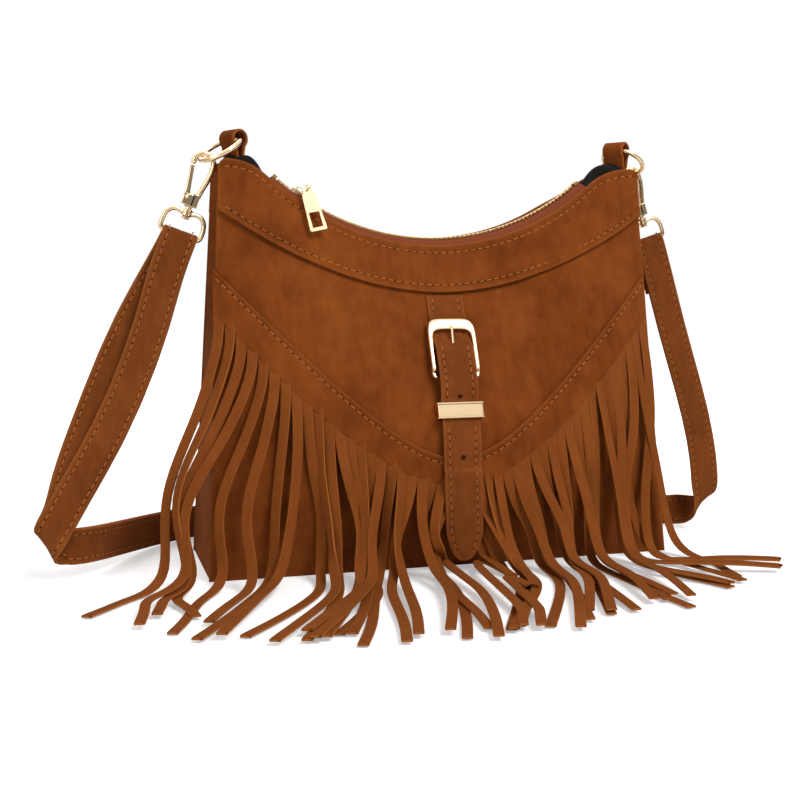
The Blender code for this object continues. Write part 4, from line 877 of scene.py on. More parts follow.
def half_turn(point, travel, sideways, fold_axis, radius):
    """Half a turn about a slanting line on the floor: p = start + lead r sin a + normal r (1 - cos a)."""
    fold_axis, travel, sideways, normal = unit(fold_axis), unit(travel), unit(sideways), FACE
    lead = unit(travel - np.dot(travel, fold_axis) * fold_axis)
    rate = np.dot(travel, fold_axis) / np.dot(travel, lead)
    a = np.linspace(0.0, pi, 25)[:, None]
    path = point + lead * radius * np.sin(a) + normal * radius * (1 - np.cos(a))
    path = path + fold_axis * rate * radius * a
    rolled = lead * np.cos(a) + normal * np.sin(a)
    wides = np.dot(sideways, fold_axis) * fold_axis + np.dot(sideways, lead) * rolled
    return path, unit(wides)


def between(first, last, count):
    """Unit directions that go in even shares from the first to the last."""
    t = np.linspace(0, 1, count)[:, None]
    return unit(unit(first) * (1 - t) + unit(last) * t)


def fold_over(side):
    """The strap's turn over the eye's bar, half a circle from front to back."""
    *_, hold, hang, wide = end_frame(side)
    bar, turn = hold + hang * EYE_BAR, EYE_WIRE + 0.0003 + STRAP_T / 2 + 0.0001
    a = np.linspace(-pi / 2, pi / 2, 17)[:, None]
    path = bar + FACE * turn * np.sin(a) - hang * turn * np.cos(a)
    return path, np.tile(wide, (17, 1)), bar, turn, hang, wide


def floor_turn(falling, inward):
    """Half a turn from a falling run to one that leaves along x, towards inward (1 or -1)."""
    travel = unit(falling[-1] - falling[-2])
    flat = unit(np.cross(travel, FACE))
    flat = flat if flat[0] > 0 else -flat
    fold_line = unit(travel + np.array((inward, 0, 0)))
    return travel, flat, fold_line, *half_turn(falling[-1], travel, flat, fold_line, FOLD_R)


def run_length(line):
    """Distance along a line at each of its points: the running sum of its steps."""
    return np.concatenate([[0.0], np.cumsum(np.linalg.norm(np.diff(line, axis=0), axis=1))])


def pick_along(at, gone, values):
    """Each column of values read off at the distances at, in straight steps."""
    return np.stack([np.interp(at, gone, column) for column in np.asarray(values, float).T], 1)


def even(path, wides, step=0.002):
    """The same line with a point every 2 mm, then smoothed a little with its ends held."""
    gone = run_length(path)
    keep = np.concatenate([[True], np.diff(gone) > 1e-7])
    path, wides, gone = path[keep], wides[keep], gone[keep]
    at = np.linspace(0.0, gone[-1], int(gone[-1] / step) + 1)
    path, wides = pick_along(at, gone, path), unit(pick_along(at, gone, wides))
    for _ in range(2):
        path[1:-1] = 0.25 * path[:-2] + 0.5 * path[1:-1] + 0.25 * path[2:]
    for _ in range(8):
        wides[1:-1] = unit(0.25 * wides[:-2] + 0.5 * wides[1:-1] + 0.25 * wides[2:])
    return path, wides, float(gone[-1])


def strap_route():
    """Splines joined by half turns: down from each eye, a turn on the floor, and on behind the bag."""
    lift = FLOOR_Z + 0.0035
    fold, fold_w, bar, turn, hang, wide = fold_over("left")
    front = bar - FACE * turn
    down = bspline([front + hang * 0.002, front + hang * 0.025 + np.array((-0.001, 0, 0)),
                    (-0.1670, front[1] + 0.002, 0.1400), (-0.1880, front[1] - 0.002, 0.0885),
                    (-0.2110, front[1] - 0.009, 0.0520), (-0.2235, front[1] - 0.013, 0.0310)], 16)
    travel, flat, fold_line, roll, roll_w = floor_turn(down, 1.0)
    end = roll[-1]

    r_fold, r_fold_w, r_bar, r_turn, r_hang, r_wide = fold_over("right")
    r_front = r_bar - FACE * r_turn
    r_down = bspline([r_front + r_hang * 0.002, r_front + r_hang * 0.025,
                      (0.1700, r_front[1] - 0.002, 0.1300), (0.1850, r_front[1] - 0.004, 0.0850),
                      (0.1935, r_front[1] - 0.004, 0.0500), (0.1955, r_front[1] - 0.003, 0.0285)], 16)
    _, r_flat, _, r_roll, r_roll_w = floor_turn(r_down, -1.0)
    r_end = r_roll[-1]

    behind = bspline([end, end + np.array((0.014, 0.002, 0)), (-0.172, 0.054, FLOOR_Z),
                      (-0.130, 0.086, FLOOR_Z), (-0.060, 0.100, FLOOR_Z), (0.000, 0.102, lift),
                      (0.040, 0.101, lift), (0.095, 0.094, FLOOR_Z), (0.150, 0.070, FLOOR_Z),
                      r_end + np.array((-0.014, 0.002, 0)), r_end], 40)
    first_w, last_w = roll_w[-1], r_roll_w[-1]
    last_w = -last_w if last_w[2] * first_w[2] < 0 else last_w
    up_w = np.array((0, 0, float(np.sign(first_w[2]))))
    behind_w = np.vstack([between(first_w, up_w, 12), np.tile(up_w, (16, 1)), between(up_w, last_w, 12)])
    sign = 1.0 if np.dot(r_roll_w[-1], last_w) > 0 else -1.0

    back = bar + FACE * turn
    last = down[-1] + np.array((0, STRAP_T + LAYER_GAP, 0))
    hind = bspline([back + hang * 0.002, back + hang * 0.020 + np.array((-0.003, 0.001, 0)),
                    (-0.1805, front[1] + 0.009, 0.1400), (-0.2020, front[1] + 0.004, 0.0885),
                    (-0.2150, front[1] - 0.0045, 0.0560), last - travel * 0.012, last], 18)
    in_roll, in_roll_w = half_turn(last, travel, flat, fold_line, FOLD_R - STRAP_T - LAYER_GAP)
    along = unit(behind[2:25] - behind[0:23])
    trail = behind[1:24] + unit(np.cross(along, (0, 0, 1.0))) * (STRAP_T + LAYER_GAP)
    cut = int(np.argmin(np.abs(behind[:, 0] - JOIN_X)))
    left = np.vstack([trail[::-1], in_roll[::-1], hind[::-1][1:], fold[::-1],
                      down[1:], roll[1:], behind[1:cut + 1]])
    left_w = np.vstack([behind_w[1:24][::-1], in_roll_w[::-1], between(wide, flat, 18)[::-1][1:],
                        fold_w[::-1], between(wide, flat, 16)[1:], roll_w[1:], behind_w[1:cut + 1]])

    below = np.linspace(0.004, 0.033, 5)[:, None]
    tail = r_bar + FACE * r_turn + r_hang * below - FACE * 0.0012 * below / 0.033
    right = np.vstack([behind[cut:-1], r_roll[::-1], r_down[::-1][1:], r_fold[1:], tail])
    right_w = np.vstack([behind_w[cut:-1], sign * r_roll_w[::-1],
                         sign * between(r_wide, r_flat, 16)[::-1][1:],
                         sign * r_fold_w[1:], sign * np.tile(r_wide, (5, 1))])
    return even(left, left_w), even(right, right_w)


(left_path, left_wide, left_length), (right_path, right_wide, right_length) = strap_route()
print("strap", round(left_length, 3), "+", round(right_length, 3), "m")

# %% [markdown]
# The strap is two layers of suede glued back to back, so its section is a soft slab with rounded
# edges, slightly dished between its stitch rows. The two halves meet inside the slider behind the
# bag.

# %% Strap
STRAP_ROW = 0.0033


def strap_profile():
    """A rounded slab: thin grooves 3.3 mm in from each edge and a faint crease at the middle."""
    a = np.linspace(-1, 1, 29)
    w, t = STRAP_W / 2, STRAP_T / 2
    inset = w * (1 - np.abs(a))
    top = t * quarter(inset, 0.0010)
    top = top - 0.00030 * np.exp(-((inset - STRAP_ROW) / 0.0008) ** 2)
    top = top - 0.00016 * np.exp(-(a * w / 0.0009) ** 2)
    upper = np.stack([a * w, top], 1)
    lower = np.stack([a[::-1][1:-1] * w, -top[::-1][1:-1]], 1)
    edge = 0.8 * np.exp(-inset / 0.0008)
    return np.vstack([upper, lower]), np.concatenate([edge, edge[::-1][1:-1]])


def blend_end(obj):
    """Bake the piece's placement into its mesh."""
    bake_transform(obj)


profile, weight = strap_profile()
strap_left = sweep("strap_left", left_path[None], left_wide[None], profile, weight, STRAP_SUEDE, 80.0)
strap_right = sweep("strap_right", right_path[None], right_wide[None], profile, weight, STRAP_SUEDE, 80.0)
blend_end(strap_left)
blend_end(strap_right)
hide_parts("strap")
print("strap pieces of", len(left_path), "and", len(right_path), "stations")

# %% [markdown]
# Stitches are what make the edges read as sewn. One small thread loop is repeated along each row as
# arrays, with a dark bead between each pair that is painted shade for the needle hole. Rows run along
# the mouth, the yoke seam, the flap, the belt and both edges of the strap.

# %% Stitches
SUNK = 0.0003


def spread_points(line, normal, pitch):
    """Even places along a line: centre, direction and normal of each stitch."""
    gone = run_length(line)
    at = np.arange(pitch / 2, gone[-1] - pitch / 2, pitch)
    here, after = pick_along(at, gone, line), pick_along(at + 0.0003, gone, line)
    return here, unit(after - here), unit(pick_along(at, gone, normal))


def stitch(name, rows, pitch=0.0047, length=0.0033, radius=0.00032):
    """Threads, and dark beads between them painted as the needle holes' shade, for several rows, each copied
    from one eight-sided bead.
    """
    places = [spread_points(line, normal, pitch) for line, normal in rows]
    centre, along, up = (np.vstack([p[i] for p in places]) for i in range(3))
    side = unit(np.cross(up, along))
    stations = np.array([-0.5, -0.4, 0.0, 0.4, 0.5])
    radii = np.array([0.35, 0.8, 1.0, 0.8, 0.35])
    angle = np.linspace(0, 2 * pi, 8, endpoint=False)

    def beads(length, radius, lift, squash, shift):
        """Rings of eight points at five stations: centre + along * station + a squashed circle."""
        spots = centre + along * shift
        c = spots[:, None, None, :] + along[:, None, None, :] * (stations * length)[None, :, None, None]
        c = c + side[:, None, None, :] * (radii[:, None] * np.cos(angle) * radius)[None, :, :, None]
        height = lift + radii[:, None] * np.sin(angle) * radius * squash
        c = c + up[:, None, None, :] * height[None, :, :, None]
        index = np.arange(c[..., 0].size).reshape(c.shape[:3])
        return c, [ring_faces(index), np.concatenate([index[:, 0, ::-1], index[:, -1, :]])]

    threads = skin(name, *beads(length, radius, 0.00012, 0.8, 0.0), THREAD, 60.0)
    # Dark beads between the threads: painted shade of the needle holes.
    holes = skin(name + "_hole_shade", *beads(0.0010, 0.00042, 0.00002, 0.35, pitch / 2), HOLE_SHADE, 60.0)
    print(name, len(centre), "stitches")
    return threads, holes


def body_row(side, x, z, off):
    """A stitch row on the bag: its line and its normals."""
    return on_body(side, x, z, off), body_normal(side, x, z)


x = np.linspace(-0.1265, 0.1265, 400)
yoke_off = SEAM_GAP + YOKE_T - SUNK
rows = [body_row(-1, x, mouth_z(x) - 0.0046, yoke_off), body_row(-1, x, yoke_z(x) + 0.0044, yoke_off),
        body_row(1, x, back_mouth(x) - 0.0046, yoke_off), body_row(1, x, yoke_z(x) + 0.0044, yoke_off)]
fx = np.linspace(-0.1330, 0.1300, 400)
flap_row = body_row(-1, fx, flap_z(fx) - 0.0042, SEAM_GAP + FLAP_T - SUNK)
for obj in (*stitch("yoke_stitches", rows), *stitch("flap_stitches", [flap_row])):
    settle(obj, "bag")

bz = np.concatenate([np.linspace(0.1575, 0.1480, 40), np.linspace(0.1300, 0.0290, 200),
                     np.linspace(0.0288, 0.0125, 60)])
belt_rows = []
for sign in (-1, 1):
    for part in (bz[bz > 0.14], bz[(bz < 0.14) & (bz > 0.0985)], bz[bz < 0.0855]):
        away_from = np.maximum(belt_half(part) - 0.0034, 0.0002)
        line = np.stack([BELT_X + sign * away_from, belt_y(part) - BELT_T + SUNK, part], 1)
        belt_rows.append((line, np.tile([0.0, -1.0, 0.0], (len(part), 1))))
for obj in stitch("belt_stitches", belt_rows, 0.0045, 0.0030):
    settle(obj, "bag")


def strap_rows(path, wides):
    """Four rows: 3.3 mm in from each edge, on both faces."""
    along = unit(np.gradient(path, axis=0))
    normal = np.cross(along, wides)
    rows = []
    for face_sign in (-1, 1):
        for edge_sign in (-1, 1):
            line = path + wides * edge_sign * (STRAP_W / 2 - STRAP_ROW)
            line = line + normal * face_sign * (STRAP_T / 2 - SUNK)
            rows.append((line, normal * face_sign))
    return rows


def cross_rows(side):
    """Two short rows across the strap below its eye, through both layers."""
    _, _, bar, turn, hang, wide = fold_over(side)
    across = np.linspace(-0.0068, 0.0068, 30)[:, None] * wide
    rows = []
    for down in (0.0130, 0.0165):
        for face_sign in (-1, 1):
            line = bar + FACE * face_sign * (turn + STRAP_T / 2 - 0.0004) + hang * down + across
            rows.append((line, np.tile(FACE * face_sign, (30, 1))))
    return rows


for obj in stitch("strap_left_stitches", strap_rows(left_path, left_wide)):
    blend_end(obj)
for obj in stitch("strap_right_stitches", strap_rows(right_path, right_wide) + cross_rows("right")):
    blend_end(obj)

# %% [markdown]
# The belt has a few punched holes. Each is a dark disc just proud of the suede, painted shade that
# reads as a hole from any distance at which a hole this small is seen.

# %% Belt holes


def disc(centre, normal, radius):
    """A thin cylinder: two rings of points on a circle."""
    a = np.linspace(0, 2 * pi, 24, endpoint=False)[:, None]
    side = unit(np.cross(normal, (1.0, 0.0, 0.0)))
    over = np.cross(normal, side)
    ring = radius * (np.cos(a) * side + np.sin(a) * over)
    verts = np.vstack([centre + ring, centre + ring + np.asarray(normal) * 0.0001])
    index = np.arange(48).reshape(2, 24)
    return verts, [ring_faces(index), index[:1, ::-1], index[1:, :]]


for number, height in enumerate((0.1018, 0.0672)):
    place = np.array([BELT_X, float(belt_y(np.array(height))) - BELT_T - 0.00002, height])
    # A dark disc: painted shade where the hole would be.
    settle(skin(f"belt_hole_shade_{number}", *disc(place, (0.0, -1.0, 0.0), 0.0015), HOLE_SHADE), "bag")
    print("belt hole", round(height * 1000, 1), "mm up")

# %% [markdown]
# Metal pieces are round wire and small cast blocks. Wire is a circle carried along its line, closed
# on itself for rings, and a bevel softens the blocks' corners so they catch the light.

# %% Wire and blocks


def wire(path, radius, up, closed=False, sides=20):
    """Circle carried along a path; up is the plane's normal, so the circle doesn't twist."""
    path = np.asarray(path, float)
    if closed:
        along = unit(np.roll(path, -1, axis=0) - np.roll(path, 1, axis=0))
    else:
        along = unit(np.gradient(path, axis=0))
    side = unit(np.cross(along, up))
    over = np.cross(side, along)
    a = np.linspace(0, 2 * pi, sides, endpoint=False)[None, :, None]
    verts = path[:, None] + radius * (np.cos(a) * side[:, None] + np.sin(a) * over[:, None])
    index = np.arange(len(path) * sides).reshape(len(path), sides)
    if closed:
        index = np.vstack([index, index[:1]])
    caps = [] if closed else [index[:1, ::-1], index[-1:, :]]
    return verts.reshape(-1, 3), [ring_faces(index), *caps]


def block(centre, axes, halves):
    """Box: centre plus or minus each axis times its half size."""
    corner = np.array([(a, b, c) for c in (-1, 1) for a, b in ((-1, -1), (1, -1), (1, 1), (-1, 1))], float)
    verts = centre + (corner * np.asarray(halves)) @ np.asarray(axes, float)
    quads = np.array([(0, 3, 2, 1), (4, 5, 6, 7), (0, 1, 5, 4), (1, 2, 6, 5), (2, 3, 7, 6), (3, 0, 4, 7)])
    return verts, [quads]


def outward(verts, faces):
    """Turn a closed shell's faces out before it is joined with others."""
    total = 0.0
    for f in faces:
        for i in range(1, f.shape[1] - 1):
            total += np.einsum("ij,ij->", verts[f[:, 0]], np.cross(verts[f[:, i]], verts[f[:, i + 1]]))
    return faces if total > 0 else [f[:, ::-1] for f in faces]


def torus_faces(index):
    """Quads of a grid of point numbers that closes on itself both ways."""
    beside = np.roll(index, -1, axis=1)
    corners = [index, beside, np.roll(beside, -1, axis=0), np.roll(index, -1, axis=0)]
    return np.stack(corners, axis=-1).reshape(-1, 4)


def closed_loft(loops):
    """Outlines joined in turn, and the last to the first: the points and faces of a closed tube."""
    grid = np.stack(loops, axis=1)
    index = np.arange(grid.shape[0] * grid.shape[1]).reshape(grid.shape[:2])
    return grid.reshape(-1, 3), [torus_faces(index)]


def turned(start, direction, outline, sides=32):
    """A closed outline of (along, radius) points carried round a line, as on a lathe."""
    direction = unit(direction)
    across = unit(np.cross(direction, (0.0, 1.0, 0.0) if abs(direction[1]) < 0.8 else (1.0, 0.0, 0.0)))
    over = np.cross(direction, across)
    outline = np.asarray(outline, float)
    a = np.linspace(0, 2 * pi, sides, endpoint=False)[:, None, None]
    ring = np.cos(a) * across + np.sin(a) * over
    verts = np.asarray(start) + direction * outline[None, :, :1] + ring * outline[None, :, 1:]
    index = np.arange(sides * len(outline)).reshape(sides, len(outline))
    return verts.reshape(-1, 3), [torus_faces(index)]


def metal(name, parts, body, nodes, bevel=0.00025, material=None):
    """Join shells into one piece and round its sharp corners."""
    verts, faces, count = [], [], 0
    for v, f in parts:
        v = np.asarray(v, float).reshape(-1, 3)
        verts.append(v)
        faces += [q + count for q in outward(v, f)]
        count += len(v)
    obj = skin(name, np.vstack(verts), faces, material or GOLD, 35.0)
    if bevel:
        step = obj.modifiers.new("soft corners", "BEVEL")
        step.width = bevel
        step.segments = 2
        step.limit_method = "ANGLE"
        step.angle_limit = radians(35)
    return settle(obj, body, nodes)


print("wire and blocks ready")

# %% [markdown]
# At each end a suede loop, sewn on above the gusset, holds a wire ring. A sprung hook clips onto the
# ring, and its stem turns in the boss of a D-shaped eye that carries the strap.

# %% Loop tabs, rings, hooks and eyes
LOOP_FOOT_Z, LOOP_R, LOOP_HALF = 0.2303, 0.0040, 0.0070
BIGHT_R, HOOK_GAP, BLOCK_TOP, BLOCK_LOW = 0.0056, 0.0006, 0.0200, 0.0273
STEM_R = 0.0015
STEM_BORE = STEM_R + 0.00025
RIVET = [(0, 0.00001), (0, 0.0013), (0.0004, 0.0011), (0.0007, 0.0006), (0.0008, 0.00001)]
STEM = [(0, 0.00001), (0, STEM_R), (0.0070, STEM_R), (0.0071, 0.0023), (0.0075, 0.0025),
        (0.0081, 0.0018), (0.0084, 0.00001)]
BOSS = [(0.0, STEM_BORE), (0.0, 0.0024), (0.0005, 0.0029), (0.0016, 0.0029), (0.0019, 0.0026),
        (0.0024, 0.0026), (0.0027, 0.0029), (0.0038, 0.0029), (0.0043, 0.0024), (0.0043, STEM_BORE)]
HALF_EYE = [(0.0023, 0.0314), (0.0060, 0.0306), (0.0092, 0.0318), (0.0112, 0.0345), (0.01185, 0.0380),
            (0.01185, 0.0415), (0.0112, 0.0437), (0.0094, EYE_BAR)]


def rounded(points, count, passes=4):
    """Even points along a polyline, averaged with their neighbours so that its corners round off."""
    points = np.asarray(points, float)
    gone = run_length(points)
    out = pick_along(np.linspace(0.0, gone[-1], count), gone, points)
    for _ in range(passes):
        out[1:-1] = 0.25 * out[:-2] + 0.5 * out[1:-1] + 0.25 * out[2:]
    return out


def hang_plane(side):
    """Where the ring holds the hook, the hanging line, the line across it, and the gate's rivet."""
    *_, hold, hang, wide = end_frame(side)
    return hold, hang, wide, hold - wide * 0.0030 + hang * 0.0228


def in_plane(side, points):
    """Points given as (across, down) from where the ring holds the hook, in the hook's plane."""
    hold, hang, wide, _ = hang_plane(side)
    points = np.asarray(points, float)
    return hold + points[:, :1] * wide + points[:, 1:] * hang


def loop(side):
    """A strip up one side, most of a circle round the bore, and down the other side."""
    bore, axis, level, *_ = end_frame(side)
    a = np.linspace(radians(-50), radians(230), 40)
    r, low = LOOP_R + SKIN / 2, LOOP_FOOT_Z - bore[2]
    line = [(0.0012, low), (0.0013, low * 0.75), *zip(r * np.cos(a), r * np.sin(a)),
            (-0.0013, low * 0.75), (-0.0012, low)]
    line = rounded(line, 90, 2)
    path = bore + line[:, :1] * level + line[:, 1:] * np.array([0.0, 0.0, 1.0])
    u = np.linspace(-1, 1, 21)
    inset = LOOP_HALF * (1 - np.abs(u))
    upper = np.stack([u * LOOP_HALF, SKIN / 2 * quarter(inset, 0.0008)], 1)
    section = np.vstack([upper, (upper * (1, -1))[::-1][1:-1]])
    edge = np.exp(-inset / 0.0007)
    weight = np.concatenate([edge, edge[::-1][1:-1]])
    obj = sweep("loop_" + side, path[None], np.tile(axis, (1, 90, 1)), section, weight, BODY_SUEDE, 80.0)
    settle(obj, "bag", ["loop_tab_" + side])


def ring(side):
    """A closed circle of wire: centre + radius (out cos a + axis sin a)."""
    _, axis, _, out, centre, *_ = end_frame(side)
    a = np.linspace(0, 2 * pi, 96, endpoint=False)[:, None]
    line = centre + RING_R * (out * np.cos(a) + axis * np.sin(a))
    metal("ring_wire_" + side, [wire(line, RING_WIRE * ROUND, np.cross(out, axis), True)],
          "ring_" + SIDES[side][3], ["ring_" + side], 0)


def hook(side):
    """A bow of wire with a round tip, the block that holds it, two cheeks, a rivet and the stem."""
    hold, hang, wide, pin = hang_plane(side)
    stout, mid = HOOK_WIRE * ROUND, BIGHT_R - HOOK_WIRE - RING_WIRE - HOOK_GAP
    a = np.linspace(radians(188), 0, 40)
    line = [*zip(BIGHT_R * np.cos(a), mid - BIGHT_R * np.sin(a)),
            (0.0058, 0.0055), (0.0050, 0.0110), (0.0038, 0.0160), (0.0027, 0.0215)]
    path = in_plane(side, rounded(line, 90, 3))
    cap = [(0.0, 0.0001), *[(stout * sin(t), stout * cos(t)) for t in np.linspace(0, 1.5, 8)]]
    middle, tall = (BLOCK_TOP + BLOCK_LOW) / 2, (BLOCK_LOW - BLOCK_TOP) / 2
    axes = (wide, hang, FACE)
    parts = [wire(path, stout, FACE), turned(path[0], path[0] - path[1], cap, 20),
             block(hold + wide * 0.0020 + hang * middle, axes, (0.0019, tall, 0.0023)),
             block(hold - wide * 0.0004 + hang * (BLOCK_LOW - 0.0004), axes, (0.0024, 0.0011, 0.0021))]
    cheek = hold - wide * 0.0018 + hang * (middle + 0.0003)
    parts += [block(cheek + FACE * k * 0.0018, axes, (0.0031, tall - 0.0006, 0.0005)) for k in (-1, 1)]
    parts += [turned(pin + FACE * k * 0.0021, FACE * k, RIVET) for k in (-1, 1)]
    parts.append(turned(hold + hang * (BLOCK_LOW - 0.0005), hang, STEM))
    metal("hook_" + side, parts, "hook_" + SIDES[side][3], ["snap_hook_" + side])


def gate(side):
    """A bar from the rivet to the hook's tip: five rectangles along the line, broadest at the rivet."""
    hold, hang, wide, pin = hang_plane(side)
    end = hold - wide * BIGHT_R + hang * 0.0046
    along, length = unit(end - pin), float(np.linalg.norm(end - pin))
    cross = unit(np.cross(along, FACE))
    t = np.array([-0.0019, -0.0012, 0.0012, 0.0040, length])
    half = np.array([0.0008, 0.0016, 0.0018, 0.0013, 0.0011])
    corner = np.array([(-1, -1), (1, -1), (1, 1), (-1, 1)], float)
    rings = pin + along * t[:, None, None] + cross * (half[:, None] * corner[:, 0])[..., None]
    rings = rings + FACE * (0.0011 * corner[:, 1])[None, :, None]
    index = np.arange(20).reshape(5, 4)
    shell = (rings.reshape(-1, 3), [ring_faces(index), index[:1, ::-1], index[-1:]])
    metal("gate_" + side, [shell], "gate_" + SIDES[side][3], ["hook_gate_" + side], 0.0004)


def eye(side):
    """A D of wire, one half a short list of points and the other its mirror, and a bored boss."""
    hold, hang, *_ = hang_plane(side)
    line = HALF_EYE + [(-u, d) for u, d in reversed(HALF_EYE)]
    parts = [wire(in_plane(side, rounded(line, 150, 6)), EYE_WIRE * ROUND, FACE),
             turned(hold + hang * 0.0291, hang, BOSS)]
    metal("eye_" + side, parts, "eye_" + SIDES[side][3], ["swivel_eye_" + side], 0)


for side in SIDES:
    for make in (loop, ring, hook, gate, eye):
        make(side)
print("hardware on both ends")

# %% [markdown]
# The belt's buckle is a cast horseshoe: a deep rim over the top that the prong rests on, thin arms,
# and a bar that the chape wraps. Its outline is a superellipse, squarer below than above.

# %% Buckle and prong
BAR_Z, BUCKLE_TOP, BAR_R, BAR_OFF, RIM_T = 0.1123, 0.1452, 0.0010, 0.0041, 0.0027


def buckle_plane(z):
    """The straight line over the curved front that the flat buckle lies on."""
    low, high = (-float(depth(np.array(BELT_X), np.array(h))) for h in (BAR_Z, 0.140))
    return low + (high - low) * (np.asarray(z) - BAR_Z) / (0.140 - BAR_Z)


a = np.linspace(0, 2 * pi, 180, endpoint=False)
cosine, sine = np.cos(a), np.sin(a)
above = sine > 0
half, middle = 0.0145, (BUCKLE_TOP + BAR_Z) / 2


def squarish(value, power):
    """A sine or cosine raised to a power with its sign kept; small powers make square corners."""
    return np.sign(value) * np.abs(value) ** power


power, inner_power = np.where(above, 0.38, 0.16), np.where(above, 0.38, 0.08)
ox = half * squarish(cosine, power)
oz = middle + np.where(above, BUCKLE_TOP - middle, middle - BAR_Z + BAR_R) * squarish(sine, power)
ix = (half - 0.0026) * squarish(cosine, inner_power)
iz = middle + (np.where(above, BUCKLE_TOP - 0.0065 - middle, middle - BAR_Z - BAR_R)
               * squarish(sine, inner_power))
bar = smooth(BAR_Z + 0.0050 - oz, 0.0, 0.003)
back = BAR_OFF - BAR_R * bar
front_off = back + RIM_T - (RIM_T - 2 * BAR_R) * bar
rise = front_off - back


def rim_share(outer_share, inner_share, off):
    """An outline between the outer and the inner one, in the given shares, at its own height."""
    return ox * outer_share + ix * inner_share, oz * outer_share + iz * inner_share, off


loops = [(ox, oz, back), (ox, oz, back + 0.65 * rise), rim_share(0.9, 0.1, back + 0.92 * rise),
         rim_share(0.72, 0.28, front_off), rim_share(0.28, 0.72, front_off),
         rim_share(0.1, 0.9, back + 0.92 * rise), (ix, iz, back + 0.65 * rise), (ix, iz, back)]
loops = [np.stack([BELT_X + x, buckle_plane(z) - off, z], -1) for x, z, off in loops]
metal("buckle", [closed_loft(loops)], "bag", ["buckle_frame"], 0)

y0 = float(buckle_plane(BAR_Z)) - BAR_OFF
turn = BAR_R * 1.4142 + 0.0003 + 0.0007
a = np.linspace(radians(285), radians(-40), 30)
curl = np.stack([np.full(30, BELT_X), y0 - turn * np.sin(a), BAR_Z + turn * np.cos(a)], 1)[:-5]
heights = ((0.1165, 0.0052), (0.1220, 0.0054), (0.1280, 0.0060), (0.1340, 0.0069), (0.1420, 0.0081))
tail = [(BELT_X, float(buckle_plane(z)) - off, z) for z, off in heights]
prong = wire(bspline(np.vstack([curl, tail]), 90), 0.0007, (1.0, 0.0, 0.0))
metal("prong", [prong], "bag", ["buckle_prong"], 0)
print("buckle", round(2000 * half, 1), "mm wide, with its prong")

# %% [markdown]
# The keeper is a flat loop of metal with a raised rim along both edges. Its section is carried round
# a rounded rectangle that clears the belt.

# %% Keeper
KEEPER_Z, KEEPER_HALF, KEEPER_DEEP = 0.0919, 0.01355, 0.0033


def front_y(height):
    """The front's y on the belt's line, at a height."""
    return -float(depth(np.array(BELT_X), np.array(height)))


slope = (front_y(KEEPER_Z + 0.004) - front_y(KEEPER_Z - 0.004)) / 0.008
tall, away_from, level = unit((0, slope, 1.0)), unit((0, -1.0, slope)), np.array((1.0, 0, 0))
a = np.linspace(0, 2 * pi, 96, endpoint=False)
round_x, round_y = squarish(np.cos(a), 0.12)[:, None], squarish(np.sin(a), 0.12)[:, None]
half_section = [(0.0033, 0.0), (0.0037, 0.00035), (0.0045, 0.00035), (0.0047, 0.0), (0.0047, -0.0009)]
section = [(-h, b) for h, b in reversed(half_section)] + half_section
centre = np.array((BELT_X - 0.0004, front_y(KEEPER_Z), KEEPER_Z)) + away_from * 0.0039
loops = [centre + tall * h + level * ((KEEPER_HALF + b) * round_x) + away_from * ((KEEPER_DEEP + b) * round_y)
         for h, b in section]
metal("keeper_loop", [closed_loft(loops)], "keeper", ["belt_keeper"], 0)
print("keeper", round(2000 * KEEPER_HALF, 1), "mm wide")

# %% [markdown]
# A metal zip closes the mouth. Its teeth are small brass blocks that alternate from side to side on
# a woven tape, on an arc a little above the front edge.

# %% Zip
ZIP_ARC, ZIP_TURN, TEETH_H, TAPE_T = 0.147, radians(41.0), 0.0015, 0.0006
TEETH_TURN, TEETH_PITCH, TEETH_UNDER = radians(39.2), 0.00145, 0.0003


def on_arc(angle, radius, y):
    """A point on the zip's arc: radius sin and cos of the angle from straight down."""
    return np.stack(np.broadcast_arrays(radius * np.sin(angle), y, ARC_Z - radius * np.cos(angle)), axis=-1)


angle = np.linspace(-ZIP_TURN, ZIP_TURN, 120)[:, None]
across = np.linspace(0, 1, 25)[None, :]
ty = np.interp(across, (0, 0.22, 0.76, 1.0), (-0.0093, -0.0046, 0.0046, 0.00885))
drop = np.interp(across, (0, 0.22, 0.76, 1.0), (0.0040, 0.0, 0.0, 0.0))
p = quarter(np.minimum(np.minimum(across, 1 - across) * 0.018, (ZIP_TURN - np.abs(angle)) * ZIP_ARC), 0.0003)
upper = on_arc(angle, ZIP_ARC + drop + TAPE_T * (0.5 - 0.5 * p), ty)
lower = on_arc(angle, ZIP_ARC + drop + TAPE_T * (0.5 + 0.5 * p), ty)
settle(pillow("tape", upper, lower, TAPE), "bag", ["zip_tape"])

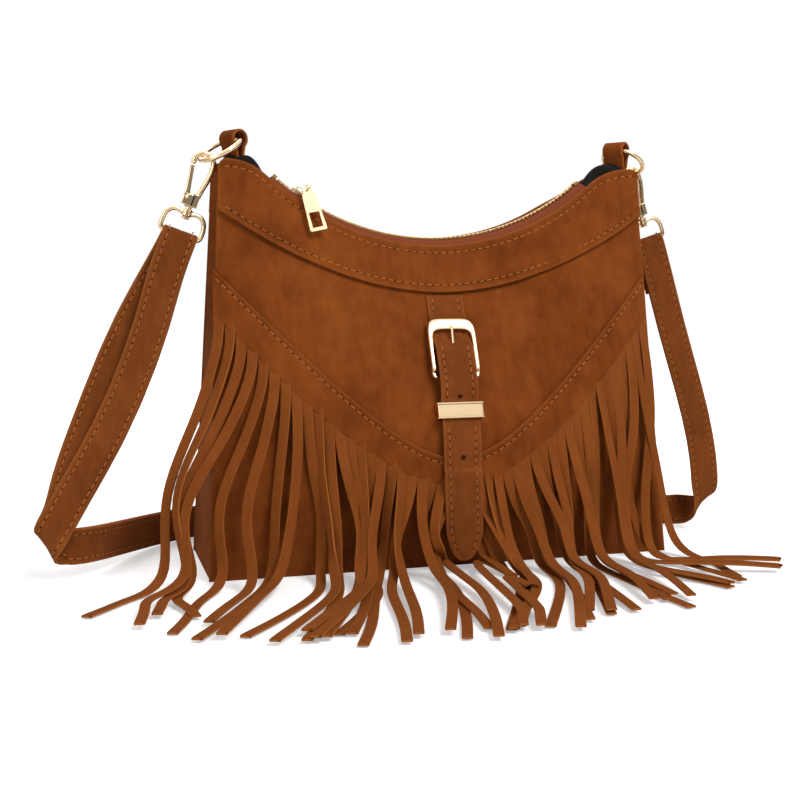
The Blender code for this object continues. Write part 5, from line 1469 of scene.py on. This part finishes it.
at = np.arange(-TEETH_TURN, TEETH_TURN, TEETH_PITCH / ZIP_ARC)
teeth = []
for number, where in enumerate(at):
    along = np.array([cos(where), 0.0, sin(where)])
    rise = np.array([-sin(where), 0.0, cos(where)])
    shift = 0.0005 if number % 2 else -0.0005
    place = on_arc(where, ZIP_ARC - TEETH_UNDER - TEETH_H / 2, shift).reshape(3)
    teeth.append(block(place, (along, (0.0, 1.0, 0.0), rise), (0.0005, 0.0019, TEETH_H / 2)))
metal("teeth", teeth, "bag", ["zip_chain"], 0.00018, TEETH)
print(len(teeth), "teeth")

# %% [markdown]
# The zip's slider, its pull tab, the stops, the strap's slider and the chape already have the right
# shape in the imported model, so they stay and only get these finishes. The link is wire again.

# %% Pieces that stay
KEPT = {"zip_slider": GOLD, "pull_tab": GOLD, "strap_slider": GOLD, "zip_stop_left": TEETH,
        "zip_stop_right": TEETH, "belt_chape": STRAP_SUEDE}
LINK_TURN, LINK_LONG, LINK_R, LINK_WIRE = radians(-33.3), 0.0125, 0.0016, 0.0006

for name, finish in KEPT.items():
    node = bpy.data.objects[name]
    node.data.materials.clear()
    node.data.materials.append(finish)

along = np.array([cos(LINK_TURN), 0.0, sin(LINK_TURN)])
rise = np.array([-sin(LINK_TURN), 0.0, cos(LINK_TURN)])
seat = on_arc(LINK_TURN, ZIP_ARC - TEETH_UNDER - TEETH_H - 0.0005, 0.0).reshape(3)
first = seat + rise * 0.0040 + along * 0.0004
second = first - FACE * LINK_LONG
a = np.linspace(pi / 2, -pi / 2, 16)[:, None]
near = first + FACE * LINK_R * np.cos(a) + rise * LINK_R * np.sin(a)
a = np.linspace(-pi / 2, -3 * pi / 2, 16)[:, None]
far = second + FACE * LINK_R * np.cos(a) + rise * LINK_R * np.sin(a)
metal("link", [wire(np.vstack([near, far]), LINK_WIRE, along, True)], "link", ["pull_link"], 0)
print("kept nodes", list(KEPT))

# %% [markdown]
# Last, the view layer is updated so that every piece stands in its place.

# %% Finish
bpy.context.view_layer.update()
